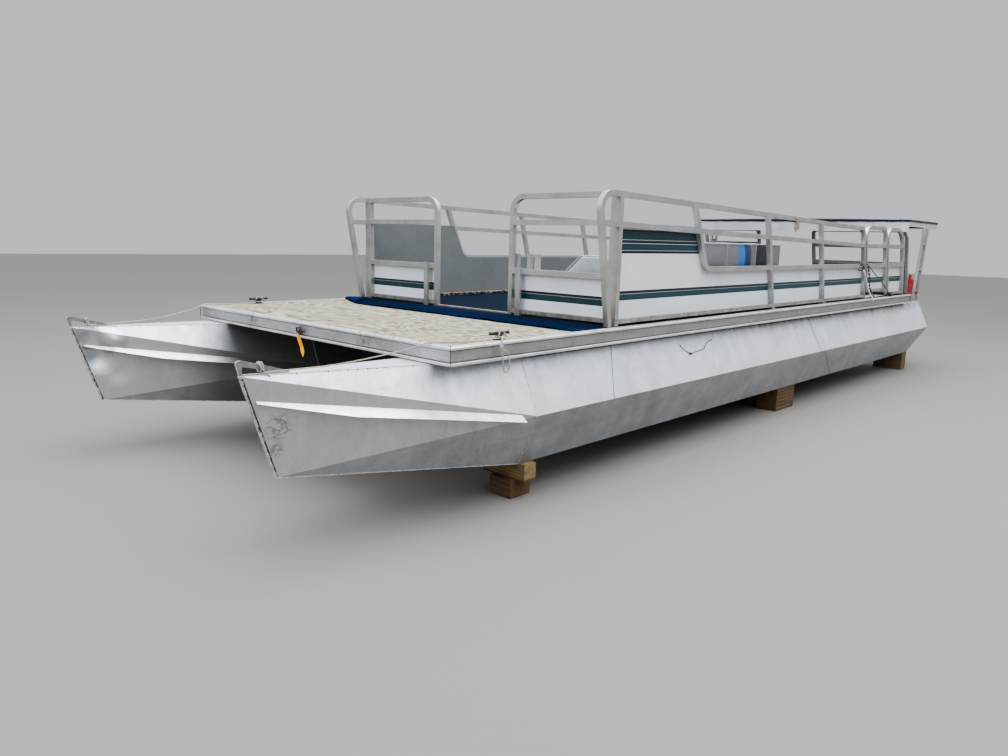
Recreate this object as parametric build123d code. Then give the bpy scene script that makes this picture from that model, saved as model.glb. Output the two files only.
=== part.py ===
from build123d import *
import math
import os

os.makedirs("parts", exist_ok=True)

# Pontoon boat standing on timber blocks. Millimetres, X to the bow, Y to port, Z up.
# Along the boat a place is a station: the distance aft of the deck's bow edge.
# Heights above or below the deck surface are levels.

# Overall sizes
deck_length = 6720
deck_width = 2440
plate_reach = 875
stern_reach = 560
block_height = 190

# Pontoons: six-sided floats with wedge bows
pontoon_spacing = 1940
pontoon_width = 600
pontoon_flat = 360
pontoon_height = 546
bow_weld = 545
stem_top_reach = 858
stem_foot_reach = 718
stem_foot_rise = 158
stem_thickness = 12
nose_rise = 44
nose_clearance = 2.9
pontoon_overhang = 480
stern_rake = 250

# Spray rails: reach past the wedge's side at three stations
spray_reach = 48
spray_depth = 46

# Tow plates on the stems: distances aft of the plate's front edge, heights above the stem's top
plate_thickness = 8
plate_nose_height = 60
plate_nose_radius = 12
plate_shoulder = (114, 36)
plate_length = 232
slot_front = 28
slot_end = 140
slot_front_height = 36
slot_end_height = 7
slot_foot = 6
slot_radius = 3

# Deck
plywood = 19
lip = 3
carpet = 6
carpet_start = 930
carpet_gap = 2
trim_height = 90
trim_web = 6
trim_lip = 28
bead_radius = 9
beam_height = 54
beam_width = 50
beam_wall = 5
beam_count = 12
beam_first = 200
saddle_width = 90
saddle_length = 240
saddle_wall = 6

# Fence of square tube
tube = 32
fence_inset = 64
front_station = 1312
rail_front_level = 750
rail_aft_level = 660
aft_rail_level = 678
mid_front_level = 572
mid_aft_level = 495
panel_level = 312
bow_panel_level = 278
bow_mid_level = 578
post_rake = 0.28
front_rake = 0.18
front_foot = 1250
rail_bend = 90
slope_foot = 2440
slope_rake = 0.45
post_shares = {"port": (0.316, 0.656), "starboard": (0.27, 0.581)}
sheet = 3
sheet_foot = 12
sill_height = 25
gate_gap = 55
gate_width = 560
gate_foot_level = 60
aft_width = 480
aft_bend = 230
stern_corner = 150
stern_inset = 70
stern_bend = 45
front_gate_port = 352
front_gate_starboard = -362
stern_gate_port = 180
stern_gate_starboard = -470
channel_width = 40
channel_depth = 16
channel_wall = 3
channel_top = 8
port_channel = 430
starboard_channel = -448
holder_size = 28
holder_height = 386
holder_spots = (368, 475, 537)
hinge_radius = 7
hinge_pin = 4
hinge_play = 0.3
hinge_length = 40
hinge_leaf = 4
hinge_levels = (180, 430)

# Low sunshade over the stern
shade_ahead = 450
shade_level = 702
shade_height = 62
shade_fascia_drop = 55
shade_wall = 20
shade_flange = 40
shade_ledge = 4
shade_rib = 30
shade_rib_depth = 40
shade_overhang = 5
shade_skin = 20
shade_crown = 14
leg_tube = 25
leg_spread = 110
leg_inset = 60
leg_rake = 0.17
leg_foot_level = -60
leg_spacers = (40, 260, 530)

# Port lounge
lounge_start = 1480
lounge_length = 2160
lounge_width = 580
lounge_gap = 57
lounge_base_height = 150
lounge_toe = 40
cushion_height = 105
seat_gap = 0.3
head_start = 1420
head_thickness = 120
head_level = 390
head_shoulder = 280
head_slope = (420, 130)
back_start = 2300
back_thickness = 110
back_level = 490

# Stern items
transom_width = 560
transom_height = 330
transom_thickness = 45
transom_reach = 280
transom_top = -140
motor_bolt_spacing = 327
motor_lower_spacing = 251
motor_bolt_drop = 203
motor_bolt_radius = 6.5
bracket_thickness = 8
bottle_length = 42
bottle_width = 86
bottle_height = 205
bottle_neck = 15
bottle_corner = 10
bottle_shoulder = 0.72
bottle_throat = 0.86
bottle_inset = 4
cleat_length = 130
cleat_inset = 24
cleat_station = 380
stern_cleat_inset = 28
line_radius = 4

# Timber blocks: station, centre offset from the pontoon's middle, length along X, length along Y
upper_block = 89
BOW_UPPER = (590, 75, upper_block, 290)
BOW_LOWER = (590, 80, 150, 150)
MIDDLE = (deck_length * 0.565, 90, 330, 170)
STERN = (deck_length + 160, 40, 140, 290)

# Worked out
pontoon_drop = trim_height + nose_clearance + nose_rise * bow_weld / (bow_weld + stem_top_reach)
stem_top_level = nose_rise - pontoon_drop
stem_foot_level = stem_foot_rise - pontoon_drop - pontoon_height
deck_level = block_height + pontoon_height + pontoon_drop
bow_edge = (deck_length + stern_reach - plate_reach) / 2
half_deck = deck_width / 2
trim_out = 2 * bead_radius
floor_level = carpet - lip
web_face = half_deck - trim_out
half_ply = web_face
pontoon_y = pontoon_spacing / 2
fence_y = half_deck - fence_inset
ply_top = deck_level - lip
ply_bottom = ply_top - plywood
beam_bottom = ply_bottom - beam_height
pontoon_top = deck_level - pontoon_drop
stern_station = deck_length - stern_inset
aft_end = stern_station - stern_corner
aft_start = aft_end - aft_width
gate_end = aft_start - gate_gap
gate_start = gate_end - gate_width
section_end = gate_start - gate_gap
rail_slope = (rail_front_level - rail_aft_level) / (section_end - front_station)
mid_slope = (mid_front_level - mid_aft_level) / (section_end - front_station)
shade_front = deck_length - shade_ahead
leg_station = deck_length - leg_inset
transom_station = deck_length + transom_reach
lounge_outer = fence_y - tube / 2 - sheet - lounge_gap
lounge_inner = lounge_outer - lounge_width
lounge_end = lounge_start + lounge_length
cleat_y = web_face - trim_lip - cleat_inset


def at(station, y, level):
    """A point from its station, its side and its level."""
    return Vector(bow_edge - station, y, deck_level + level)


def polyhedron(points, faces):
    """A closed solid from named points and flat faces."""
    return Solid(Shell([Face(Wire.make_polygon([points[name] for name in face])) for face in faces]))


def box(x0, x1, y0, y1, z0, z1):
    return Pos((x0 + x1) / 2, (y0 + y1) / 2, (z0 + z1) / 2) * Box(x1 - x0, y1 - y0, z1 - z0)


def strip(points, bend=0, size=tube):
    """The flat outline of a tube along points in its frame's own plane."""
    path = FilletPolyline(*points, radius=bend) if bend else Polyline(*points)
    return trace(path, line_width=size)


def welded(plane, strips, floor, size=tube):
    """A flat welded frame of square tube, its feet cut level."""
    outline = strips[0]
    for extra in strips[1:]:
        outline = outline + extra
    above = Pos(0, floor + 1000) * Rectangle(20000, 2000)
    return extrude(plane * (outline & above), size / 2, both=True)


def joined(pieces):
    body = pieces[0]
    for piece in pieces[1:]:
        body = body + piece
    return body


def opposite(shape):
    return mirror(shape, about=Plane.XZ)


def solids(*shapes):
    found = []
    for shape in shapes:
        found.extend(shape.solids())
    return Compound(children=found)


def write(name, *shapes):
    """Write one node's solids to its own file."""
    made = solids(*shapes)
    export_step(made, "parts/" + name + ".step")


# Pontoons
def pontoon(y):
    half = pontoon_width / 2
    flat = pontoon_flat / 2
    stem = stem_thickness / 2
    knuckle = -pontoon_drop - pontoon_height / 2
    bottom = -pontoon_drop - pontoon_height
    tail = deck_length + pontoon_overhang
    ring = {"T": (flat, -pontoon_drop), "K": (half, knuckle), "B": (flat, bottom)}
    points = {}
    for side, sign in (("o", 1), ("i", -1)):
        for name, (reach, level) in ring.items():
            points[name + side] = at(bow_weld, y + sign * reach, level)
            end = tail - stern_rake if name == "B" else tail
            points[name + "s" + side] = at(end, y + sign * reach, level)
        points["S" + side] = at(-stem_top_reach, y + sign * stem, stem_top_level)
        points["F" + side] = at(-stem_foot_reach, y + sign * stem, stem_foot_level)
    ring_faces = ("To", "Ko", "Bo", "Bi", "Ki", "Ti")
    nose = polyhedron(points, [
        ring_faces,
        ("To", "Ti", "Si", "So"),
        ("Bo", "Fo", "Fi", "Bi"),
        ("So", "Si", "Fi", "Fo"),
        ("To", "So", "Ko"), ("Ko", "So", "Fo"), ("Ko", "Fo", "Bo"),
        ("Ti", "Ki", "Si"), ("Ki", "Fi", "Si"), ("Ki", "Bi", "Fi"),
    ])
    body = polyhedron(points, [
        ring_faces,
        ("To", "Tso", "Tsi", "Ti"), ("Bo", "Bi", "Bsi", "Bso"),
        ("To", "Ko", "Kso", "Tso"), ("Ko", "Bo", "Bso", "Kso"),
        ("Ti", "Tsi", "Ksi", "Ki"), ("Ki", "Ksi", "Bsi", "Bi"),
        ("Tso", "Kso", "Ksi", "Tsi"), ("Kso", "Bso", "Bsi", "Ksi"),
    ])
    return nose + body


# Spray rails: share of the way from stem to weld, drop of the root line, reach
SPRAY = (
    (0.02, 0.25),
    (0.30, 1.0),
    (0.93, 0.8),
)
root_drop = 99


def wedge_side(y, side, share, level):
    """A point on the wedge's flat side, between its stem and the knuckle at the weld."""
    knuckle = -pontoon_drop - pontoon_height / 2
    apex = at(bow_weld, y + side * pontoon_width / 2, knuckle)
    top = at(-stem_top_reach, y + side * stem_thickness / 2, stem_top_level)
    foot = at(-stem_foot_reach, y + side * stem_thickness / 2, stem_foot_level)
    high = top + (apex - top) * share
    low = foot + (apex - foot) * share
    down = (deck_level + level - high.Z) / (low.Z - high.Z)
    return high + (low - high) * down


def spray_rail(y, side):
    knuckle = -pontoon_drop - pontoon_height / 2
    sections = []
    for share, reach in SPRAY:
        root_level = stem_top_level - root_drop + (knuckle - stem_top_level + root_drop) * share
        root = wedge_side(y, side, share, root_level)
        foot = wedge_side(y, side, share, root_level - spray_depth * reach * (1 - share))
        if share > 0.9:
            foot = root + (at(bow_weld, y, knuckle - 40) - at(bow_weld, y, knuckle)) * 0.5
        edge = root + Vector(0, side * spray_reach * reach, -spray_depth * reach * 0.8)
        sections.append((root, edge, foot))
    points = {}
    for number, (root, edge, foot) in enumerate(sections):
        points["r%d" % number] = root
        points["e%d" % number] = edge
        points["f%d" % number] = foot
    faces = [("r0", "e0", "f0"), ("r2", "f2", "e2")]
    for a, b in (("0", "1"), ("1", "2")):
        for near, far in (("r", "e"), ("e", "f"), ("f", "r")):
            faces.append((near + a, far + a, near + b))
            faces.append((far + a, far + b, near + b))
    return polyhedron(points, faces)


# Tow plates
def tow_plate(y):
    """A thin plate over the stem, cut out to leave a loop that a line goes through."""
    nose_slope = nose_rise / (stem_top_reach + bow_weld)
    front = bow_edge + plate_reach
    stem = bow_edge + stem_top_reach
    seat = deck_level + stem_top_level

    def seat_level(aft):
        return seat - nose_slope * (aft - plate_reach + stem_top_reach)

    shoulder_aft, shoulder_height = plate_shoulder
    outline = make_face(Polyline(
        (stem, seat),
        (front, seat + plate_nose_height),
        (front - 2 * plate_nose_radius, seat + plate_nose_height),
        (front - shoulder_aft, seat + shoulder_height),
        (front - plate_length, seat_level(plate_length) + slot_foot),
        (front - plate_length, seat_level(plate_length)),
        close=True,
    ))
    nose = [v for v in outline.vertices() if abs(v.X - front) < 1]
    slot = make_face(Polyline(
        (front - slot_front, seat_level(slot_front) + slot_foot),
        (front - slot_front, seat + slot_front_height),
        (front - slot_end, seat_level(slot_end) + slot_foot + slot_end_height),
        (front - slot_end, seat_level(slot_end) + slot_foot),
        close=True,
    ))
    plate = fillet(nose, plate_nose_radius) - fillet(slot.vertices(), slot_radius)
    standing = Plane(origin=(0, y + plate_thickness / 2, 0), x_dir=(1, 0, 0), z_dir=(0, -1, 0))
    return extrude(standing * plate, plate_thickness)


# Deck structure
def beam_stations():
    last = deck_length - beam_first
    return [beam_first + (last - beam_first) * n / (beam_count - 1) for n in range(beam_count)]


def beam(station):
    """A channel open towards the stern."""
    x = bow_edge - station
    reach = half_ply - 2
    outer = box(x - beam_width / 2, x + beam_width / 2, -reach, reach, beam_bottom, ply_bottom)
    inner = box(
        x - beam_width / 2, x + beam_width / 2 - beam_wall, -reach, reach,
        beam_bottom + beam_wall, ply_bottom - beam_wall,
    )
    return outer - inner


def saddle(station, y):
    """A hat section between a beam and the pontoon's flat top."""
    x = bow_edge - station
    across = saddle_length / 2
    half = saddle_width / 2
    height = beam_bottom - pontoon_top
    outer = box(x - half, x + half, y - across, y + across, pontoon_top, beam_bottom)
    left = box(x - half, x - beam_width / 2, y - across, y + across, pontoon_top + saddle_wall, beam_bottom)
    right = box(x + beam_width / 2, x + half, y - across, y + across, pontoon_top + saddle_wall, beam_bottom)
    hollow = box(
        x - beam_width / 2 + saddle_wall, x + beam_width / 2 - saddle_wall, y - across, y + across,
        pontoon_top, pontoon_top + height - saddle_wall,
    )
    return outer - left - right - hollow


def trim_profile():
    """Edge moulding: web, lip over the plywood and a bead at top and bottom."""
    web = Pos(trim_web / 2, -trim_height / 2) * Rectangle(trim_web, trim_height)
    over = Pos((trim_web - trim_lip) / 2, -lip / 2) * Rectangle(trim_lip + trim_web, lip)
    upper = Pos(trim_out - bead_radius, -bead_radius) * Circle(bead_radius)
    lower = Pos(trim_out - bead_radius, bead_radius - trim_height) * Circle(bead_radius)
    return web + over + upper + lower


def trim(length, far, direction):
    """A moulding along one deck edge, its ends cut at 45 degrees."""
    inner = length / 2 - trim_out - trim_lip
    wide = trim_out + trim_lip
    bar = extrude(Plane.XZ * trim_profile(), length / 2, both=True)
    prism = extrude(make_face(Polyline(
        (trim_out, -length / 2), (trim_out, length / 2), (trim_out - wide, inner), (trim_out - wide, -inner),
        close=True,
    )), 2 * trim_height, both=True)
    return Pos(0, 0, deck_level) * Rot(0, 0, direction) * Pos(far - trim_out, 0, 0) * (bar & prism)


# Fence
side_plane = Plane(origin=(0, fence_y, 0), x_dir=(1, 0, 0), z_dir=(0, -1, 0))
bow_plane = Plane(origin=(bow_edge - front_station, 0, 0), x_dir=(0, 1, 0), z_dir=(1, 0, 0))
lean = math.atan(post_rake)
stern_plane = Plane(
    origin=(bow_edge - stern_station, 0, deck_level), x_dir=(0, 1, 0),
    z_dir=(math.cos(lean), 0, -math.sin(lean)),
)


def rail_level(station):
    return rail_front_level - tube / 2 - rail_slope * (station - front_station)


def mid_level(station):
    return mid_front_level - mid_slope * min(station - front_station, section_end - front_station)


def raked(foot, level, rake=post_rake):
    """A point in the side fence's plane, on a post that leans to the bow as it rises."""
    return (bow_edge - foot + rake * level, deck_level + level)


def rail_on_post(foot, rake=post_rake):
    """Level where a raked post meets the top rail."""
    return rail_level(foot - rake * rail_level(foot))


def posts(side):
    """Feet of the posts between the sloped tube and the section's end."""
    return [slope_foot + share * (section_end - slope_foot) for share in post_shares[side]]


def sill(foot):
    """Level of a bottom rail's middle."""
    return foot + sheet_foot + sill_height / 2


def side_fence(side):
    buried = floor_level - tube
    top_front = rail_on_post(front_foot, front_rake)
    top_end = rail_on_post(section_end)
    corner = bow_edge - front_station
    low_rail = sill(floor_level)
    mid_front = raked(front_foot, mid_level(front_foot), front_rake)
    strips = [
        strip([
            raked(front_foot, buried, front_rake), raked(front_foot, top_front, front_rake),
            raked(section_end, top_end), raked(section_end, buried),
        ], rail_bend),
        strip([(corner, deck_level + buried), (corner, deck_level + rail_level(front_station))]),
        strip([mid_front, raked(section_end, mid_level(section_end))]),
        strip([
            raked(slope_foot, rail_on_post(slope_foot, slope_rake), slope_rake),
            raked(slope_foot, panel_level, slope_rake), raked(section_end, panel_level),
        ], rail_bend),
        strip([(corner, deck_level + low_rail), raked(section_end, low_rail)], size=sill_height),
    ]
    for foot in posts(side):
        strips.append(strip([raked(foot, buried), raked(foot, rail_on_post(foot))]))
    return welded(side_plane, strips, deck_level + floor_level)


def side_panel():
    """Sheet behind the tubes: tall at the bow, low past the sloped tube."""
    start = bow_edge - front_station - tube / 2
    foot = floor_level + sheet_foot
    corner = raked(slope_foot, panel_level, slope_rake)
    face = make_face(Polyline(
        (start, deck_level + foot), (start, deck_level + mid_front_level),
        raked(slope_foot, mid_front_level, slope_rake),
        corner, raked(section_end, panel_level), raked(section_end, foot), close=True,
    ))
    nook = [v for v in face.vertices() if abs(v.X - corner[0]) < 1 and abs(v.Y - corner[1]) < 1]
    return extrude(side_plane.offset(tube / 2) * fillet(nook, rail_bend), sheet)


def bow_fence(inner, channel_y):
    """Front fence from its gate post to its own corner post; inner is the gate post's side."""
    sign = 1 if inner > 0 else -1
    outer = sign * (fence_y - tube)
    foot = deck_level + floor_level
    top = deck_level + rail_front_level - tube / 2
    strips = [
        strip([(inner, foot), (inner, top), (outer, top)], rail_bend),
        strip([(outer, foot), (outer, top + tube / 2)]),
    ]
    for level in (bow_mid_level, bow_panel_level):
        strips.append(strip([(inner, deck_level + level), (outer, deck_level + level)]))
    low_rail = deck_level + sill(floor_level)
    strips.append(strip([(inner, low_rail), (outer, low_rail)], size=sill_height))
    face = bow_edge - front_station + tube / 2
    post = Pos(face + channel_depth / 2, channel_y) * Rectangle(channel_depth, channel_width)
    depth = channel_depth - channel_wall
    hollow = Pos(face + depth / 2, channel_y) * Rectangle(depth, channel_width - 2 * channel_wall)
    height = bow_panel_level + tube / 2 + channel_top - floor_level
    return welded(bow_plane, strips, foot) + extrude(Pos(0, 0, foot) * (post - hollow), height)


def rod_holders():
    """Three short uprights that stand against the port bow sheet."""
    aft = bow_edge - front_station - tube / 2 - sheet
    foot = deck_level + floor_level
    top = deck_level + holder_height
    half = holder_size / 2
    return [box(aft - holder_size, aft, y - half, y + half, foot, top) for y in holder_spots]


def bow_panel(inner):
    sign = 1 if inner > 0 else -1
    far = sign * (fence_y - tube / 2 - sheet - 1)
    low, high = sorted((inner, far))
    x = bow_edge - front_station - tube / 2
    foot = deck_level + floor_level + sheet_foot
    return box(x - sheet, x, low, high, foot, deck_level + bow_panel_level)


def hoop(start, end, foot, low_rail, end_bend=rail_bend):
    """A raked frame with rounded top corners, mid rail, panel rail and a low rail at the given level."""
    buried = foot - tube
    top = aft_rail_level - tube / 2
    strips = [strip(
        [raked(start, buried), raked(start, top), raked(end, top), raked(end, buried)],
        [rail_bend, end_bend],
    )]
    for level in (mid_aft_level, panel_level):
        strips.append(strip([raked(start, level), raked(end, level)]))
    strips.append(strip([raked(start, low_rail), raked(end, low_rail)], size=sill_height))
    return welded(side_plane, strips, deck_level + foot)


def hoop_panel(start, end, foot):
    face = make_face(Polyline(
        raked(start, foot), raked(start, panel_level), raked(end, panel_level), raked(end, foot), close=True,
    ))
    return extrude(side_plane.offset(tube / 2) * face, sheet)


def stern_fence(inner):
    """Stern fence in a plane that leans with the side posts."""
    sign = 1 if inner > 0 else -1
    outer = sign * fence_y
    foot = (floor_level + tube / 2 * math.sin(lean)) / math.cos(lean)
    top = (aft_rail_level - tube / 2) / math.cos(lean)
    strips = [strip(
        [(inner, foot - tube), (inner, top), (outer, top), (outer, foot - tube)],
        [stern_bend, rail_bend],
    )]
    for level, size in ((mid_aft_level, tube), (panel_level, tube), (sill(floor_level), sill_height)):
        along = level / math.cos(lean)
        strips.append(strip([(inner, along), (outer, along)], size=size))
    return welded(stern_plane, strips, foot)


def stern_panel(inner):
    sign = 1 if inner > 0 else -1
    outer = sign * fence_y
    foot = (floor_level + sheet_foot) / math.cos(lean)
    top = panel_level / math.cos(lean)
    low, high = sorted((inner, outer))
    face = make_face(Polyline((low, foot), (low, top), (high, top), (high, foot), close=True))
    return extrude(stern_plane.offset(tube / 2) * face, sheet)


# Gate: hinged on its aft stile, on an axis that leans with the posts
hinge_foot = (gate_end + aft_start) / 2
hinge_y = fence_y - tube / 2 - hinge_radius
hinge_direction = Vector(post_rake, 0, 1).normalized()


def hinge_leg(plane, centre, length, side):
    """A knuckle and its leaf, which reaches to the middle of the stile on its side."""
    reach = gate_gap / 2 * math.cos(lean) - 1
    barrel = extrude(plane.offset(centre) * Circle(hinge_radius), length / 2, both=True)
    leaf_place = Pos(hinge_radius - hinge_leaf / 2, side * reach / 2)
    leaf = extrude(plane.offset(centre) * leaf_place * Rectangle(hinge_leaf, reach), length / 2, both=True)
    return barrel + leaf


def hinge_planes():
    planes = []
    for level in hinge_levels:
        x, z = raked(hinge_foot, level)
        planes.append(Plane(origin=(x, hinge_y, z), x_dir=(0, 1, 0), z_dir=hinge_direction))
    return planes


def gate_hinges():
    """The post's knuckles, with pins that reach through the gate's knuckles."""
    made = []
    for plane in hinge_planes():
        pin = extrude(plane * Circle(hinge_pin), hinge_length, both=True)
        made.append(hinge_leg(plane, 0, hinge_length, 1) + pin)
    return made


def gate_frame():
    """The gate's hoop with two knuckles at each hinge."""
    frame = hoop(gate_start, gate_end, gate_foot_level, gate_foot_level + sill_height / 2)
    knuckle = hinge_length / 2 - hinge_play
    shift = hinge_length / 2 + hinge_play + knuckle / 2
    for plane in hinge_planes():
        for way in (1, -1):
            frame += hinge_leg(plane, way * shift, knuckle, -1)
        frame -= extrude(plane * Circle(hinge_pin + hinge_play), hinge_length + 2, both=True)
        frame -= extrude(plane * Circle(hinge_radius + hinge_play), hinge_length / 2 + hinge_play, both=True)
    return frame


# Sunshade
def canopy_frame():
    front = bow_edge - shade_front
    back = bow_edge - deck_length - stern_reach
    low = deck_level + shade_level
    high = low + shade_height
    outer = box(back, front, -half_deck, half_deck, low, high)
    side = half_deck - shade_wall
    inner = box(back + shade_wall, front - shade_wall, -side, side, low, high)
    lip_side = half_deck - shade_flange
    ledge = low + shade_ledge
    flange_hole = box(back + shade_flange, front - shade_flange, -lip_side, lip_side, low, ledge)
    flange = box(back, front, -half_deck, half_deck, low, ledge) - flange_hole
    fascia = box(front - shade_wall, front, -half_deck, half_deck, low - shade_fascia_drop, high)
    ribs = []
    for share in (1 / 3, 2 / 3):
        x = back + (front - back) * share
        ribs.append(box(x - shade_rib / 2, x + shade_rib / 2, -side, side, high - shade_rib_depth, high))
    return joined([outer - inner, flange, fascia] + ribs)


def canopy_cover():
    """Cover sheet, crowned across the boat."""
    front = bow_edge - shade_front
    back = bow_edge - deck_length - stern_reach
    z = deck_level + shade_level + shade_height
    edge = half_deck + shade_overhang
    profile = make_face([
        Line((-edge, z), (edge, z)),
        Line((edge, z), (edge, z + shade_skin)),
        ThreePointArc((edge, z + shade_skin), (0, z + shade_skin + shade_crown), (-edge, z + shade_skin)),
        Line((-edge, z + shade_skin), (-edge, z)),
    ])
    plane = Plane(origin=(back, 0, 0), x_dir=(0, 1, 0), z_dir=(1, 0, 0))
    return extrude(plane * profile, front - back)


def canopy_leg():
    """Two raked tubes with spacers, from the deck's corner to the shade."""
    plane = Plane(origin=(0, half_deck + leg_tube / 2, 0), x_dir=(1, 0, 0), z_dir=(0, -1, 0))
    top = shade_level
    strips = []
    for shift in (0, leg_spread):
        foot = leg_station + shift
        strips.append(strip([
            raked(foot, leg_foot_level, -leg_rake), raked(foot, top + leg_tube, -leg_rake),
        ], size=leg_tube))
    for level in leg_spacers:
        strips.append(strip([
            raked(leg_station, level, -leg_rake), raked(leg_station + leg_spread, level, -leg_rake),
        ], size=leg_tube))
    outline = strips[0]
    for extra in strips[1:]:
        outline = outline + extra
    between = Pos(0, deck_level + (top + leg_foot_level) / 2) * Rectangle(20000, top - leg_foot_level)
    return extrude(plane * (outline & between), leg_tube / 2, both=True)


# Lounge
def across_plane(station):
    """The boat's cross-section at a station, its own x to port and y up."""
    return Plane(origin=(bow_edge - station, 0, 0), x_dir=(0, 1, 0), z_dir=(1, 0, 0))


def lounge_base():
    face = make_face(Polyline(
        (lounge_inner + lounge_toe, ply_top + carpet),
        (lounge_outer, ply_top + carpet),
        (lounge_outer, deck_level + lounge_base_height),
        (lounge_inner, deck_level + lounge_base_height),
        close=True,
    ))
    return extrude(across_plane(lounge_end) * face, lounge_length)


def lounge_cushion():
    low = deck_level + lounge_base_height + seat_gap
    front = bow_edge - head_start - head_thickness - seat_gap
    return box(bow_edge - lounge_end, front, lounge_inner, lounge_outer, low, low + cushion_height)


def lounge_back():
    """Backrest along the fence."""
    low = deck_level + lounge_base_height + cushion_height + 2 * seat_gap
    return box(
        bow_edge - lounge_end, bow_edge - back_start, lounge_outer - back_thickness, lounge_outer,
        low, deck_level + back_level,
    )


def lounge_head():
    """End rest at the bow, its inner shoulder sloped."""
    foot = ply_top + carpet
    top = deck_level + head_level
    slope_across, slope_down = head_slope
    face = make_face(Polyline(
        (lounge_outer - slope_across, foot), (lounge_outer, foot), (lounge_outer, top),
        (lounge_outer - head_shoulder, top), (lounge_outer - slope_across, top - slope_down),
        close=True,
    ))
    base_front = bow_edge - lounge_start + seat_gap
    end = across_plane(head_start + head_thickness) * face
    body = extrude(end, head_thickness)
    notch = box(
        bow_edge - head_start - head_thickness, base_front, lounge_inner - 1, lounge_outer + 1,
        foot, deck_level + lounge_base_height + seat_gap,
    )
    return body - notch


# Stern and deck items
def motor_mount():
    """Transom board bolted between two side plates that hang from the beams."""
    x = bow_edge - transom_station
    top = deck_level + transom_top
    board = box(
        x, x + transom_thickness, -transom_width / 2, transom_width / 2, top - transom_height, top,
    )
    for y, drop in (
        (motor_bolt_spacing / 2, 51), (motor_lower_spacing / 2, 51 + motor_bolt_drop),
    ):
        for sign in (1, -1):
            hole = Plane(origin=(x - 5, sign * y, top - drop), z_dir=(1, 0, 0)) * Circle(motor_bolt_radius)
            board -= extrude(hole, transom_thickness + 10)
    ahead = bow_edge - deck_length + 450
    outline = [
        (x + transom_thickness, top), (x + transom_thickness, top - transom_height),
        (ahead, beam_bottom - 30), (ahead, beam_bottom), (bow_edge - deck_length + 60, beam_bottom),
        (bow_edge - deck_length + trim_out, deck_level - trim_height - 5),
        (bow_edge - deck_length, deck_level - trim_height - 5),
    ]
    face = make_face(Polyline(*outline, close=True))
    parts = [board]
    for y in (-transom_width / 2, transom_width / 2 - bracket_thickness):
        plane = Plane(origin=(0, y + bracket_thickness, 0), x_dir=(1, 0, 0), z_dir=(0, -1, 0))
        parts.append(extrude(plane * face, bracket_thickness))
    return joined(parts)


def cleat(station, y, base):
    """A low two-horned mooring cleat lying along the boat."""
    x = bow_edge - station
    foot = box(x - 30, x + 30, y - 14, y + 14, base, base + 5)
    stem = box(x - 14, x + 14, y - 7, y + 7, base + 5, base + 30)
    horn = Pos(x, y, base + 33) * Rot(0, 90, 0) * Cylinder(8, cleat_length)
    return foot + stem + horn


def oil_bottle():
    """A flat bottle with shoulders, a neck and a cap, standing on the corner of the edge trim."""
    x = bow_edge - deck_length + trim_out + trim_lip - bottle_length / 2
    y = half_deck - bottle_inset - bottle_width / 2
    shoulder = deck_level + bottle_height * bottle_shoulder
    throat = deck_level + bottle_height * bottle_throat
    base = Pos(x, y, deck_level) * RectangleRounded(bottle_length, bottle_width, bottle_corner)
    body = extrude(base, shoulder - deck_level)
    top = Pos(x, y, shoulder) * RectangleRounded(bottle_length, bottle_width, bottle_corner)
    neck_width = 2 * (bottle_neck + 1.5)
    neck = Pos(x, y, throat) * RectangleRounded(neck_width, neck_width, bottle_corner)
    cap = extrude(Pos(x, y, throat) * Circle(bottle_neck), deck_level + bottle_height - throat)
    return body + loft([top, neck]) + cap


# Loose end of the port bow line: distance aft of the cleat, y outboard of it, level
LINE_TAIL = (
    (-6, 7.8, 12), (-6, 28, 13), (-34, 58, 18), (-66, 84, 12), (-78, 91, -20), (-72, 91, -62),
    (-62, 91, -102), (-54, 89, -146), (-24, 89, -146), (-17, 91, -112), (-28, 93, -74),
)


def line_tail():
    """A rope end that leaves the cleat, goes over the trim and hangs in a bight."""
    points = [at(cleat_station + aft, cleat_y + out, level) for aft, out, level in LINE_TAIL]
    radii = []
    for before, here, after in zip(points, points[1:], points[2:]):
        turn = math.radians((here - before).get_angle(after - here))
        radii.append(0.45 * min((here - before).length, (after - here).length) / math.tan(turn / 2))
    print("line tail radii", [round(radius, 1) for radius in radii])
    path = FilletPolyline(*points, radius=radii)
    section = Plane(origin=points[0], z_dir=points[1] - points[0]) * Circle(line_radius)
    rope = sweep(section, path=path)
    print("line tail length", round(path.length, 1), "volume ratio",
          round(rope.volume / (math.pi * line_radius ** 2 * path.length), 4))
    return rope


def block(row, low, high, sign):
    station, offset, length, width = row
    y = sign * (pontoon_y + offset)
    x = bow_edge - station
    return box(x - length / 2, x + length / 2, y - width / 2, y + width / 2, low, high)


# Write the nodes
write("port_pontoon", pontoon(pontoon_y))
write("starboard_pontoon", pontoon(-pontoon_y))
write("port_spray_rails", spray_rail(pontoon_y, 1), spray_rail(pontoon_y, -1))
write("starboard_spray_rails", spray_rail(-pontoon_y, 1), spray_rail(-pontoon_y, -1))
write("tow_plates", tow_plate(pontoon_y), tow_plate(-pontoon_y))

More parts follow.
